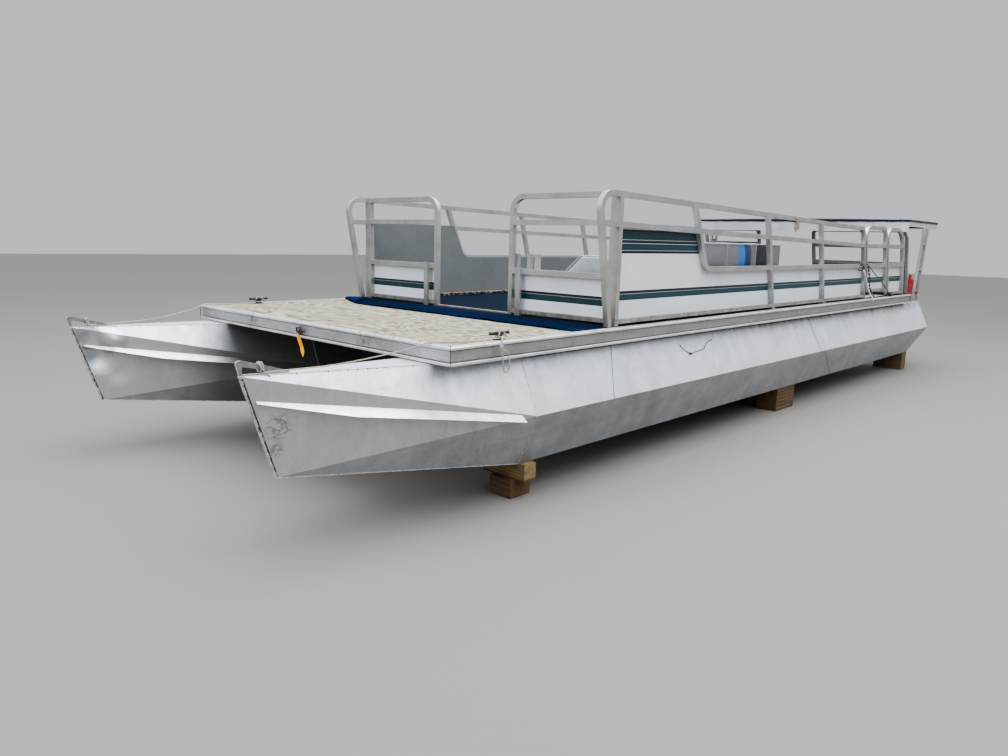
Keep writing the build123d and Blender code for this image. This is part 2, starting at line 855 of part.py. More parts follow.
write("deck_beams", *[beam(s) for s in beam_stations()])
write("port_saddles", *[saddle(s, pontoon_y) for s in beam_stations() if s > bow_weld + saddle_width])
write("starboard_saddles", *[saddle(s, -pontoon_y) for s in beam_stations() if s > bow_weld + saddle_width])
stern_edge = bow_edge - deck_length
plywood_sheet = box(stern_edge + trim_out, bow_edge - trim_out, -half_ply, half_ply, ply_bottom, ply_top)
write("deck_plywood", plywood_sheet)
write("deck_carpet", box(
    stern_edge + trim_out + trim_lip + carpet_gap, bow_edge - carpet_start,
    -half_ply + trim_lip + carpet_gap, half_ply - trim_lip - carpet_gap, ply_top, ply_top + carpet,
))
write("bow_trim", trim(deck_width, bow_edge, 0))
write("stern_trim", trim(deck_width, deck_length - bow_edge, 180))
side_trim = Pos(bow_edge - deck_length / 2, 0, 0) * trim(deck_length, half_deck, 90)
write("port_trim", side_trim)
write("starboard_trim", opposite(side_trim))
write("motor_mount", motor_mount())

write("port_bow_fence", bow_fence(front_gate_port, port_channel), *rod_holders())
write("starboard_bow_fence", bow_fence(front_gate_starboard, starboard_channel))
write("port_bow_panel", bow_panel(front_gate_port))
write("starboard_bow_panel", bow_panel(front_gate_starboard))
write("bow_threshold", box(
    bow_edge - front_station - 15, bow_edge - front_station + 15,
    front_gate_starboard + tube / 2 + 1, front_gate_port - tube / 2 - 1,
    ply_top + carpet, ply_top + carpet + 9,
))
write("port_side_fence", side_fence("port"))
write("starboard_side_fence", opposite(side_fence("starboard")))
sheet_side = side_panel()
write("port_side_panel", sheet_side)
write("starboard_side_panel", opposite(sheet_side))
write("port_gate_frame", gate_frame())
write("port_gate_panel", hoop_panel(gate_start, gate_end, gate_foot_level))
write("gate_hinges", *gate_hinges())
write("port_aft_fence", hoop(aft_start, aft_end, floor_level, sill(floor_level), aft_bend))
write("port_aft_panel", hoop_panel(aft_start, aft_end, floor_level + sheet_foot))
write("starboard_aft_fence", opposite(hoop(gate_start, aft_end, floor_level, sill(floor_level), aft_bend)))
write("starboard_aft_panel", opposite(hoop_panel(gate_start, aft_end, floor_level + sheet_foot)))
write("stern_fences", stern_fence(stern_gate_port), stern_fence(stern_gate_starboard))
write("stern_panels", stern_panel(stern_gate_port), stern_panel(stern_gate_starboard))

write("canopy_frame", canopy_frame())
write("canopy_cover", canopy_cover())
leg = canopy_leg()
write("canopy_legs", leg, opposite(leg))

write("lounge_base", lounge_base())
write("lounge_cushion", lounge_cushion())
write("lounge_back", lounge_back(), lounge_head())
write(
    "deck_cleats", cleat(cleat_station, cleat_y, ply_top), cleat(cleat_station, -cleat_y, ply_top),
    cleat(aft_start - 10, half_deck - stern_cleat_inset, deck_level),
)
write("port_line_tail", line_tail())
write("oil_bottle", oil_bottle())

lower_top = block_height - upper_block
write("bow_blocks", *[
    shape for sign in (1, -1) for shape in (
        block(BOW_UPPER, lower_top, block_height, sign), block(BOW_LOWER, 0, lower_top, sign),
    )
])
write("middle_blocks", *[block(MIDDLE, 0, block_height, sign) for sign in (1, -1)])
write("stern_blocks", *[block(STERN, 0, block_height, sign) for sign in (1, -1)])
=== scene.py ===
# %% [markdown]
# # A pontoon boat on its blocks
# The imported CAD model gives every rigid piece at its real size: floats, deck, fence, gate, canopy and timber.
# This lesson dresses it. Each step looks at one finish or one soft piece of the boat, says how it could be
# made, and then makes it in short cells that print what came out.

# %% Load the frame
import math
import random

import bmesh
import bpy
from mathutils import Matrix, Vector, noise


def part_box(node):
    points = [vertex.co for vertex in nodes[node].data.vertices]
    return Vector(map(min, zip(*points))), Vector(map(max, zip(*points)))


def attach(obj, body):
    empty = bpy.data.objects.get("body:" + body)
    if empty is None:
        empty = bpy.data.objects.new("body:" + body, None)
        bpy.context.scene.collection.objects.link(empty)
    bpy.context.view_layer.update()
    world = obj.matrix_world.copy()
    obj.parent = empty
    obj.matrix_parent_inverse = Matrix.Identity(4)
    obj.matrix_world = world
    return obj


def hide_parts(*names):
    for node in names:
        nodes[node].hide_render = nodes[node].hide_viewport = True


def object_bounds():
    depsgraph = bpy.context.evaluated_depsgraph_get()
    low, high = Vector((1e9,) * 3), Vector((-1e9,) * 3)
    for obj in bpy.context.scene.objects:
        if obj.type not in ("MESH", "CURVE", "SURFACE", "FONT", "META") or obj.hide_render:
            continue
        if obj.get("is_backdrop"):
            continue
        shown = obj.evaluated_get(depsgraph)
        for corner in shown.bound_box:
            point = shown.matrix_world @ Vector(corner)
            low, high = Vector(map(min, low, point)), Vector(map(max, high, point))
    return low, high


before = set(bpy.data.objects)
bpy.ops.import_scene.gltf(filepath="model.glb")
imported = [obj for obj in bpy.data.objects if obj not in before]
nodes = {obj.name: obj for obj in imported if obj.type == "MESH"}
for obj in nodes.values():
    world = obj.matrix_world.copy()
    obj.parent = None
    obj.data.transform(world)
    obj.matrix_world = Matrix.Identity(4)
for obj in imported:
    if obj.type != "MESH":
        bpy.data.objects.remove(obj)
cad_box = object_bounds()

# %% [markdown]
# ## Where things are
# The boat's own words are stations and levels: a station is the distance aft of the deck's bow edge,
# and a level is the height above the deck. Writing places that way keeps every later number readable.
# The bow edge and the deck level are read from the trim moulding, so they can't drift from the CAD.

# %% Stations and levels
trim_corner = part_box("bow_trim")[1]
BOW, HALF_DECK, DECK = trim_corner


def at(station, y, level):
    """A point from its station, its side and its level, in metres."""
    return Vector((BOW - station, y, DECK + level))


def route(*places):
    """Points from a row of stations, sides and levels."""
    return [at(*place) for place in places]


print("bow edge", round(BOW, 4), "deck level", round(DECK, 4), "half beam", round(HALF_DECK, 4))

# %% [markdown]
# ## The camera
# The photograph was taken at chest height off the port bow with a wide phone lens.
# A camera can be placed by eye, but solving it from the deck's corners and parallel edges gives the same
# perspective everywhere, so the angles, the focal length and the slight roll below are set as numbers.

# %% Camera
EYE = at(-2.2097, 3.6406, 0.4744)
YAW, PITCH, ROLL = -2.3835, -0.1826, 0.0251
FOCAL_PIXELS = 753.07
PICTURE_WIDTH = 1008
SENSOR = 36.0

scene = bpy.context.scene
ahead = Vector((math.cos(YAW) * math.cos(PITCH), math.sin(YAW) * math.cos(PITCH), math.sin(PITCH)))
right = ahead.cross(Vector((0, 0, 1))).normalized()
above = right.cross(ahead)
tilted_right = right * math.cos(ROLL) + above * math.sin(ROLL)
tilted_up = above * math.cos(ROLL) - right * math.sin(ROLL)

camera_data = bpy.data.cameras.new("eye")
camera_data.sensor_width = SENSOR
camera_data.lens = SENSOR * FOCAL_PIXELS / PICTURE_WIDTH
camera_data.clip_end = 200
camera = bpy.data.objects.new("eye", camera_data)
turn = Matrix((tilted_right, tilted_up, -ahead)).transposed()
camera.matrix_world = Matrix.Translation(EYE) @ turn.to_4x4()
scene.collection.objects.link(camera)
scene.camera = camera
print("lens", round(camera_data.lens, 2), "mm at", [round(v, 3) for v in EYE])

# %% [markdown]
# ## A small kit for finishes
# Every finish on the boat is a few coats: a base colour, slow patches, fine grain, dirt, and then bumps.
# Building node trees by hand repeats the same ten lines, so a class holds them, and the sky uses it too.
# Each coat is worked out from the place on the boat in metres, so grain keeps its real size.

# %% Node kit
class Layers:
    """A node tree with a short call for each kind of node that the boat needs."""

    def __init__(self, tree):
        self.nodes, self.links = tree.nodes, tree.links
        where = self.nodes.new("ShaderNodeTexCoord").outputs
        self.place, self.facing, self.sky = where["Object"], where["Normal"], where["Generated"]

    def feed(self, socket, value):
        """Link a socket to another node's output, or set it; a colour gets its fourth number."""
        if isinstance(value, bpy.types.NodeSocket):
            self.links.new(value, socket)
        elif isinstance(value, tuple) and len(value) < len(socket.default_value):
            socket.default_value = (*value, 1)
        else:
            socket.default_value = value

    def node(self, kind, feeds, out=0, **settings):
        """Add a node, feed its sockets and give back one of its outputs."""
        made = self.nodes.new("ShaderNode" + kind)
        for key, value in settings.items():
            setattr(made, key, value)
        for socket, value in feeds.items():
            self.feed(made.inputs[socket], value)
        return made.outputs[out]

    def math(self, how, *values):
        return self.node("Math", dict(enumerate(values)), operation=how)

    def times(self, first, *others):
        for other in others:
            first = self.math("MULTIPLY", first, other)
        return first

    def vector(self, how, *values, out="Vector"):
        return self.node("VectorMath", dict(enumerate(values)), out, operation=how)

    def axis(self, letter, source=None):
        return self.node("SeparateXYZ", {0: source or self.place}, letter)

    def stretched(self, scale):
        return self.node("Mapping", {"Vector": self.place, "Scale": scale})

    def noise(self, scale, stretch=(1, 1, 1), detail=4.0, rough=0.55, warp=0.0):
        return self.node("TexNoise", {"Vector": self.stretched(stretch), "Scale": scale, "Detail": detail,
                                      "Roughness": rough, "Distortion": warp}, "Fac")

    def cells(self, scale, stretch=(1, 1, 1)):
        return self.node("TexVoronoi", {"Vector": self.stretched(stretch), "Scale": scale}, "Distance")

    def ramp(self, value, *stops, how="LINEAR"):
        """Each stop is a position and a grey or a colour."""
        made = self.node("ValToRGB", {0: value})
        made.node.color_ramp.interpolation = how
        marks = made.node.color_ramp.elements
        while len(marks) < len(stops):
            marks.new(0.5)
        for mark, (position, colour) in zip(marks, stops):
            mark.position = position
            mark.color = (*colour, 1) if isinstance(colour, tuple) else (colour, colour, colour, 1)
        return made

    def mix(self, share, first, second):
        return self.node("Mix", {0: share, 6: first, 7: second}, 2, data_type="RGBA")

    def inside(self, value, low, high):
        """1 where the value lies between two limits, 0 elsewhere."""
        return self.times(self.math("GREATER_THAN", value, low), self.math("LESS_THAN", value, high))

    def fade(self, value, start, end):
        """0 at the start and before it, 1 at the end and past it."""
        return self.node("MapRange", {0: value, 1: start, 2: end})

    def near(self, point, radius):
        """1 at a point, falling to 0 at the radius."""
        return self.fade(self.vector("DISTANCE", self.place, point, out="Value"), radius, 0.0)

    def contour(self, value, middle, width):
        """A thin line where the value passes the middle."""
        off = self.math("ABSOLUTE", self.math("SUBTRACT", value, middle))
        return self.fade(off, width, 0.4 * width)

    def scratches(self, drawing, width, spread, *few):
        """The middle contour of one noise, broken up by the stops of a slower one."""
        return self.times(self.contour(drawing, 0.5, width), self.ramp(self.noise(spread, detail=2), *few))


# %% Finish kit
class Finish(Layers):
    """One finish: a shader, the base colour laid so far, and the bumps."""

    def __init__(self, name, rough, metal=0.0, **sockets):
        self.material = bpy.data.materials.new(name)
        self.material.use_nodes = True
        super().__init__(self.material.node_tree)
        self.sockets = self.nodes["Principled BSDF"].inputs
        self.base = self.normal = None
        for socket, value in dict(Roughness=rough, Metallic=metal, **sockets).items():
            self.sockets[socket.replace("_", " ")].default_value = value

    def colour(self, value):
        self.base = value
        self.feed(self.sockets["Base Color"], value)

    def coat(self, colour, *shares):
        """Lay a colour over the base, as much as all its shares allow."""
        self.colour(self.mix(self.times(*shares), self.base, colour))

    def specks(self, colour, spots, most, reach, rare, least):
        """Small spots round the cells' middles, only where a second noise is over its least."""
        self.coat(colour, self.ramp(spots, (0.0, most), (reach, 0.0)), self.math("GREATER_THAN", rare, least))

    def rough(self, value):
        self.feed(self.sockets["Roughness"], value)

    def bump(self, height, distance, strength=1.0):
        feeds = {"Strength": strength, "Distance": distance, "Height": height}
        if self.normal:
            feeds["Normal"] = self.normal
        self.normal = self.node("Bump", feeds)
        self.feed(self.sockets["Normal"], self.normal)


def dress(finish, *names):
    """Give a finish to CAD nodes."""
    for name in names:
        slots = nodes[name].data.materials
        slots.clear()
        slots.append(finish.material)


def toned(colour, share):
    """A colour made darker or lighter by a share."""
    return tuple(share * v for v in colour)


def placed(name, points, faces, finish=None):
    """A new object with its own mesh."""
    mesh = bpy.data.meshes.new(name)
    mesh.from_pydata(points, [], faces)
    if finish:
        mesh.materials.append(finish.material)
    made = bpy.data.objects.new(name, mesh)
    scene.collection.objects.link(made)
    return made


print("finish kit ready")

# %% [markdown]
# ## Floor and light
# Bare aluminium has almost no colour of its own: it shows what stands around it.
# The day in the photograph is overcast: bright straight above, soft at the sides, and dark under the hull.
# A sky that brightens towards the top, three wide lamps and a floor that isn't too pale give that.

# %% Floor
FLOOR_HALF = 40.0
SQUARE = ((1, 1), (-1, 1), (-1, -1), (1, -1))
floor_paint = Finish("floor_paint", 0.95, Specular_IOR_Level=0.1)
floor_paint.colour((0.215, 0.205, 0.190))
floor = placed("floor", [(x * FLOOR_HALF, y * FLOOR_HALF, 0) for x, y in SQUARE], [(0, 1, 2, 3)], floor_paint)
floor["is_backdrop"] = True
print("floor", 2 * FLOOR_HALF, "m square")

# %% Sky
SKY_STOPS = ((0.44, (0.12, 0.12, 0.12)), (0.50, (0.22, 0.22, 0.22)), (0.58, (0.36, 0.37, 0.38)),
             (0.70, (0.84, 0.89, 0.96)), (0.95, (1.35, 1.40, 1.46)))
BACKDROP = (0.46, 0.47, 0.48)
scene.world = bpy.data.worlds.new("studio")
scene.world.use_nodes = True
sky = Layers(scene.world.node_tree)
height = sky.math("MULTIPLY_ADD", sky.axis("Z", sky.sky), 0.5, 0.5)
seen = sky.node("LightPath", {}, "Is Camera Ray")
background = sky.nodes["Background"].inputs
sky.feed(background["Color"], sky.mix(seen, sky.ramp(height, *SKY_STOPS), BACKDROP))
background["Strength"].default_value = 1.25
print("sky stops", len(SKY_STOPS))

# %% Lamps
BOAT_MIDDLE = Vector((0, 0, 0.8))
LAMPS = (
    ("overcast", (0.5, 1.5, 9.0), 8.0, 1250, (0.97, 0.985, 1.0)),
    ("port_side", (1.0, 9.0, 9.0), 6.0, 380, (0.98, 0.99, 1.0)),
    ("bow_side", (11.0, -0.5, 5.0), 5.0, 260, (0.96, 0.98, 1.0)),
)
for name, place, size, power, tint in LAMPS:
    lamp = bpy.data.lights.new(name, "AREA")
    lamp.size, lamp.energy, lamp.color = size, power, tint
    light = bpy.data.objects.new(name, lamp)
    light.location = place
    light.rotation_euler = (BOAT_MIDDLE - Vector(place)).to_track_quat("-Z", "Y").to_euler()
    scene.collection.objects.link(light)
scene.view_settings.look = "AgX - Medium High Contrast"
print("floor, sky and", len(LAMPS), "lamps")

# %% [markdown]
# ## Weathered float aluminium
# The floats are bare sheet that has stood outside for years. Looked at closely the sheet has three things:
# bold pale and dark streaks, slow milky clouds, and grey smears where the boat was handled.
# Streaks are plain noise squeezed along the boat, so each blob becomes a tall narrow mark.
# Painted shade darkens the wedge's upright sides, the faces turned forward, the inboard faces under the deck
# and the undersides, the undersides partly waterline staining too; below the moulding, painted shadow mixed
# with grime runs down.
# A scuff with a broken outline is a contour line of noise, kept only near one point.
# A dent is a soft bump with its centre on the sheet; the far bow took most of them.

# %% Float skin
WEDGE_END = 0.545


def float_finish(name, scuffs=(), dents=()):
    """Streaked bare sheet, with scuffs and dents near given points."""
    made = Finish(name, 0.45, 0.78)
    facing_up = made.axis("Z", made.facing)
    forward, level = made.axis("X"), made.axis("Z")
    streaks = made.noise(3.4, (2.6, 1.5, 1.3), detail=9, rough=0.68, warp=0.35)
    threads = made.noise(16.0, (7, 5, 1.5), detail=6, rough=0.72)
    clouds = made.noise(1.7, detail=6, rough=0.62, warp=0.6)
    handled = made.noise(0.9, (2.6, 1, 4), detail=6, rough=0.65)
    made.colour(made.ramp(streaks, (0.30, (0.555, 0.60, 0.645)), (0.50, (0.71, 0.755, 0.80)),
                          (0.68, (0.90, 0.94, 0.98))))
    made.coat((0.86, 0.90, 0.95), made.ramp(clouds, (0.40, 0.0), (0.66, 0.6)))
    made.coat((0.46, 0.49, 0.53), made.ramp(threads, (0.54, 0.0), (0.70, 0.45)))
    made.coat((0.98, 0.99, 1.0), made.ramp(threads, (0.32, 0.65), (0.45, 0.0)))
    made.coat((0.42, 0.41, 0.38), made.ramp(handled, (0.50, 0.0), (0.78, 0.38)))
    made.specks((0.16, 0.16, 0.15), made.cells(46, (1, 1, 0.5)), 0.55, 0.10, made.noise(5.0, detail=2), 0.57)
    scratch = made.noise(2.6, (1, 1, 2.4), detail=5, rough=0.6, warp=1.2)
    made.coat((0.24, 0.24, 0.25), made.scratches(scratch, 0.0035, 3.3, (0.50, 0.0), (0.62, 0.5)))
    for point, radius in scuffs:
        edge = made.contour(made.noise(17, (1, 1, 1.5), detail=4, rough=0.6, warp=0.6), 0.52, 0.040)
        made.coat((0.05, 0.05, 0.055), made.ramp(made.near(point, radius), (0.15, 0.0), (0.55, 0.85)), edge)
    # Painted shadow mixed with real grime: darker in streaks just below the moulding, aft on the floats.
    shadow_and_grime_streaks = made.ramp(made.noise(7.0, (1, 1, 0.35), detail=7, rough=0.7), (0.36, 0.15), (0.64, 0.85))
    shadow_and_grime_below_moulding = made.fade(level, DECK - 0.185, DECK - 0.115)
    made.coat((0.19, 0.175, 0.15), shadow_and_grime_below_moulding, made.fade(forward, BOW - 1.9, BOW - 3.2), shadow_and_grime_streaks)
    # Painted shade: the wedge's upright sides are made darker.
    on_wedge = made.math("GREATER_THAN", forward, BOW - WEDGE_END)
    made.coat((0.34, 0.335, 0.325), made.inside(facing_up, -0.15, 0.15), on_wedge, 0.62)
    # Painted shade: faces turned forward are made much darker.
    made.coat((0.12, 0.12, 0.12), made.math("GREATER_THAN", made.axis("X", made.facing), 0.55), 0.7)
    # Painted shade between the floats under the deck, with some dark oxide: inboard faces darker aft of the
    # bow.
    inward = made.math("LESS_THAN", made.times(made.axis("Y"), made.axis("Y", made.facing)), 0.0)
    made.coat((0.10, 0.10, 0.105), inward, made.fade(forward, BOW + 0.32, BOW + 0.05), 0.72)
    # Undersides darker: painted shade, partly waterline staining.
    smear = made.noise(2.2, (1.0, 1.0, 3.0), detail=7, rough=0.65, warp=0.8)
    below = made.fade(facing_up, -0.15, -0.45)
    made.coat((0.20, 0.205, 0.21), below, made.ramp(smear, (0.35, 0.70), (0.65, 0.92)))
    made.rough(made.ramp(streaks, (0.3, 0.56), (0.7, 0.40)))
    made.bump(made.noise(3.6, (1, 1, 0.8), detail=3), 0.010, 0.5)
    made.bump(made.noise(170, (1, 1, 0.22), detail=2), 0.0005, 0.5)
    for point, radius, depth in dents:
        hollow = made.ramp(made.near(point, radius), (0.0, 0.0), (0.35, 0.25), (0.7, 0.85), (1.0, 1.0),
                           how="B_SPLINE")
        made.bump(hollow, depth)
    return made


NEAR_SCUFFS = ((at(-0.712, 0.997, -0.286), 0.080), (at(-0.726, 0.994, -0.376), 0.050))
FAR_DENTS = (
    (at(-0.775, -0.950, -0.145), 0.085, -0.035), (at(-0.720, -0.935, -0.235), 0.120, -0.045),
    (at(-0.655, -0.925, -0.170), 0.090, 0.030), (at(-0.640, -0.930, -0.330), 0.100, -0.014),
)
dress(float_finish("port_float_skin", NEAR_SCUFFS), "port_pontoon", "port_spray_rails")
dress(float_finish("starboard_float_skin", dents=FAR_DENTS), "starboard_pontoon", "starboard_spray_rails")
print("float skins on 4 nodes,", len(NEAR_SCUFFS), "scuffs and", len(FAR_DENTS), "dents")


# %% Tow plate metal
def plate_finish():
    """Dull on the flat sides, with a painted highlight on every edge face."""
    made = Finish("tow_plate_metal", 0.42, 0.8)
    cloud = made.noise(22, detail=6, rough=0.65)
    made.colour(made.ramp(cloud, (0.35, (0.24, 0.245, 0.25)), (0.65, (0.40, 0.41, 0.42))))
    sideways = made.math("ABSOLUTE", made.axis("Y", made.facing))
    # Painted highlight: every face that doesn't face sideways, the plate's edges, is made bright.
    made.coat((0.86, 0.88, 0.90), made.math("LESS_THAN", sideways, 0.7))
    made.bump(cloud, 0.0010, 0.4)
    return made


plate_metal = plate_finish()
dress(plate_metal, "tow_plates")
print("tow plates dressed in", plate_metal.material.name)

# %% [markdown]
# ## Satin frame tube
# Fence, gate, legs and beams are mill-finish tube. It is greyer than the floats, cloudy where hands went,
# with brown dirt near the feet and small dark pits. The level above the deck says how much dirt there is.

# %% Frame tube
def tube_finish(name, tone=1.0, dirty=True):
    """Satin tube, cloudy and pitted, dirty towards the deck."""
    made = Finish(name, 0.42, 0.66)
    smear = made.noise(6.0, detail=6, rough=0.6)
    fine = made.noise(70.0, (1, 1, 0.35), detail=5, rough=0.7)
    tones = ((0.30, (0.35, 0.35, 0.345)), (0.50, (0.45, 0.45, 0.445)), (0.72, (0.57, 0.575, 0.57)))
    made.colour(made.ramp(smear, *((place, toned(grey, tone)) for place, grey in tones)))
    made.coat(toned((0.30, 0.295, 0.285), tone), made.ramp(fine, (0.52, 0.0), (0.74, 0.35)))
    made.specks((0.12, 0.11, 0.10), made.cells(60), 0.7, 0.08, made.noise(14.0), 0.60)
    if dirty:
        patchy = made.ramp(made.noise(24, detail=5, rough=0.7), (0.38, 0.15), (0.62, 0.9))
        made.coat((0.20, 0.16, 0.115), made.fade(made.axis("Z"), DECK + 0.16, DECK), patchy)
    made.rough(made.ramp(smear, (0.3, 0.50), (0.7, 0.34)))
    made.bump(fine, 0.0004, 0.4)
    return made


frame_tube = tube_finish("frame_tube")
FENCES = [side + part for part in ("_bow_fence", "_side_fence", "_aft_fence") for side in ("port", "starboard")]
dress(frame_tube, *FENCES, "port_gate_frame", "stern_fences", "canopy_legs", "bow_threshold")
# Painted shade: a darker copy of the tube finish for the parts under the deck.
dress(tube_finish("under_deck_metal_shaded", 0.45, dirty=False),
      "deck_beams", "port_saddles", "starboard_saddles", "motor_mount")
print("tube finish on fence, gate and legs")

# %% [markdown]
# ## Edge moulding
# The deck's rim has two bright rounded beads with a flat grey web between them.
# One finish does both: the height above the ground says which part of the moulding a point lies on.
# Rust-brown stains sit at the bow moulding's joints, and short scratches cross its web.

# %% Trim finish
BEAD = 0.018
TRIM_DEPTH = 0.090
BOW_JOINT = 0.57
BOW_JOINTS = (at(0, BOW_JOINT, -TRIM_DEPTH / 2), at(0, 0.01 - BOW_JOINT, -TRIM_DEPTH / 2))


def trim_finish(name, web_tone, stains=()):
    """Bright beads and a flat web, with stains at given points."""
    made = Finish(name, 0.34, 0.72)
    level = made.axis("Z")
    web_foot, web_head = DECK - TRIM_DEPTH + BEAD, DECK - BEAD
    web = made.inside(level, web_foot, web_head)
    rub = made.noise(5.0, (1, 1, 5), detail=8, rough=0.72)
    bead = made.ramp(rub, (0.32, (0.52, 0.52, 0.51)), (0.50, (0.78, 0.78, 0.77)), (0.7, (0.90, 0.90, 0.90)))
    made.colour(made.ramp(rub, (0.30, toned(web_tone, 0.70)), (0.62, web_tone)))
    fine = made.noise(42, (1.6, 1.6, 0.5), detail=6, rough=0.75)
    made.coat(toned(web_tone, 0.45), made.ramp(fine, (0.50, 0.0), (0.72, 0.5)))
    marks = made.noise(5.5, (1, 1, 1.6), detail=6, rough=0.65, warp=1.5)
    made.coat((0.12, 0.12, 0.12), made.scratches(marks, 0.004, 6.5, (0.50, 0.0), (0.60, 0.8)))
    made.colour(made.mix(web, bead, made.base))
    # Painted shade with some dirt: a thin dark line where each bead meets the web.
    corner = made.math("ADD", made.contour(level, web_head, 0.0032), made.contour(level, web_foot, 0.0032))
    made.coat((0.055, 0.052, 0.048), corner, 0.85)
    made.specks((0.14, 0.10, 0.07), made.cells(34), 0.9, 0.09, made.noise(8.0), 0.57)
    for point in stains:
        patchy = made.ramp(made.noise(38, (1, 1, 0.6), detail=5, rough=0.7), (0.44, 0.0), (0.60, 1.0))
        made.coat((0.22, 0.145, 0.085), made.ramp(made.near(point, 0.10), (0.1, 0.0), (0.9, 0.75)), patchy)
    made.rough(made.math("MULTIPLY_ADD", web, 0.18, 0.30))
    made.bump(made.noise(150, (0.3, 0.3, 2), detail=2), 0.0004, 0.5)
    return made


dress(trim_finish("side_trim_finish", (0.44, 0.44, 0.445)), "port_trim", "starboard_trim")
dress(trim_finish("bow_trim_finish", (0.58, 0.58, 0.58), BOW_JOINTS), "bow_trim", "stern_trim")
print("beads", BEAD * 1000, "mm, web", round((TRIM_DEPTH - 2 * BEAD) * 1000), "mm")

# %% [markdown]
# ## Painted fence sheets
# Outside, the sheets are gloss white with dark teal tape: a black pinstripe, a thin pale gap, then the teal
# band. Inside they are bare dull grey with a tan tide mark at the foot. A point's own normal tells inside from
# outside, because it points away from the boat's middle on the outer face. Each row of tape is a list of
# levels, so a stripe is one line in a table.

# %% Stripe tables
WHITE = (0.66, 0.70, 0.74)
BOW_WHITE = (0.82, 0.88, 0.94)
TEAL = (0.0045, 0.036, 0.050)
SEAM_TEAL = (0.014, 0.060, 0.075)
BLACK = (0.006, 0.007, 0.010)
PALE = (0.36, 0.41, 0.46)
SIDE_TAPE = [
    (0.1430, TEAL), (0.1580, SEAM_TEAL), (0.1610, TEAL), (0.1775, PALE), (0.1805, BLACK), (0.1965, WHITE),
]
UPPER_TAPE = [
    (0.4100, BLACK), (0.4250, PALE), (0.4285, TEAL), (0.4450, SEAM_TEAL), (0.4475, TEAL), (0.4650, PALE),
    (0.4690, BLACK), (0.4850, PALE), (0.4885, TEAL), (0.5130, SEAM_TEAL), (0.5155, TEAL), (0.5330, BLACK),
    (0.5450, WHITE),
]
BOW_TAPE = [
    (0.1060, TEAL), (0.1230, SEAM_TEAL), (0.1255, TEAL), (0.1420, PALE), (0.1450, BLACK), (0.1600, BOW_WHITE),
]


# %% Sheet finish
def sheet_finish(name, tapes, white=WHITE):
    """White outside with tape at the given levels, grey and stained inside."""
    made = Finish(name, 0.30, 0.0, Coat_Weight=0.12, Coat_Roughness=0.2)
    height = made.math("SUBTRACT", made.axis("Z"), DECK)
    cloud = made.noise(4.0, detail=7, rough=0.62)
    made.colour(made.ramp(cloud, (0.3, (0.105, 0.114, 0.118)), (0.7, (0.140, 0.150, 0.154))))
    made.coat((0.21, 0.215, 0.22), made.ramp(made.noise(60, (1, 1, 0.3), detail=4), (0.55, 0.0), (0.78, 0.25)))
    edge = made.math("ADD", height, made.times(made.noise(4.0, detail=5), -0.06))
    made.coat((0.17, 0.14, 0.105), made.fade(edge, 0.030, 0.005), 0.6)
    bare = made.base
    chalk = made.noise(3.0, (1, 1, 1.5), detail=6, rough=0.65)
    made.colour(made.ramp(chalk, (0.3, toned(white, 0.90)), (0.6, white)))
    for tape in tapes:
        low, high = tape[0][0] - 0.002, tape[-1][0] + 0.002
        stops = [((level - low) / (high - low), colour) for level, colour in tape]
        stripe = made.ramp(made.fade(height, low, high), (0.0, white), *stops, how="CONSTANT")
        made.coat(stripe, made.inside(height, tape[0][0], tape[-1][0]))
    worn = made.noise(30, (0.4, 0.4, 3), detail=6, rough=0.75)
    made.coat((0.42, 0.43, 0.43), made.ramp(worn, (0.62, 0.0), (0.74, 0.45)))
    made.coat((0.40, 0.38, 0.33), made.ramp(chalk, (0.42, 0.0), (0.70, 0.6)), made.fade(height, 0.11, 0.0))
    outward = made.vector("DOT_PRODUCT", made.facing, made.place, out="Value")
    outside = made.math("GREATER_THAN", outward, 0.0)
    made.colour(made.mix(outside, bare, made.base))
    made.rough(made.math("MULTIPLY_ADD", outside, -0.26, 0.60))
    made.bump(made.noise(1.4, (1, 1, 1.6), detail=2), 0.006, 0.35)
    return made


dress(sheet_finish("side_sheet", (SIDE_TAPE, UPPER_TAPE)), "port_side_panel", "starboard_side_panel")
dress(sheet_finish("bow_sheet", (BOW_TAPE,), BOW_WHITE), "port_bow_panel", "starboard_bow_panel")
dress(sheet_finish("aft_sheet", (SIDE_TAPE,)),
      "port_gate_panel", "port_aft_panel", "starboard_aft_panel", "stern_panels")
print("tape rows:", len(SIDE_TAPE), len(UPPER_TAPE), len(BOW_TAPE))

# %% [markdown]
# ## Bare plywood
# The bow deck is plywood whose paint is long gone. Its veneer was peeled from a log, so the figure is like the
# lines of a map: long flat islands across the boat. Lines of equal height of a smooth noise make the same
# drawing, so the noise, pulled along the grain, is folded back and forth many times and coloured by the fold.

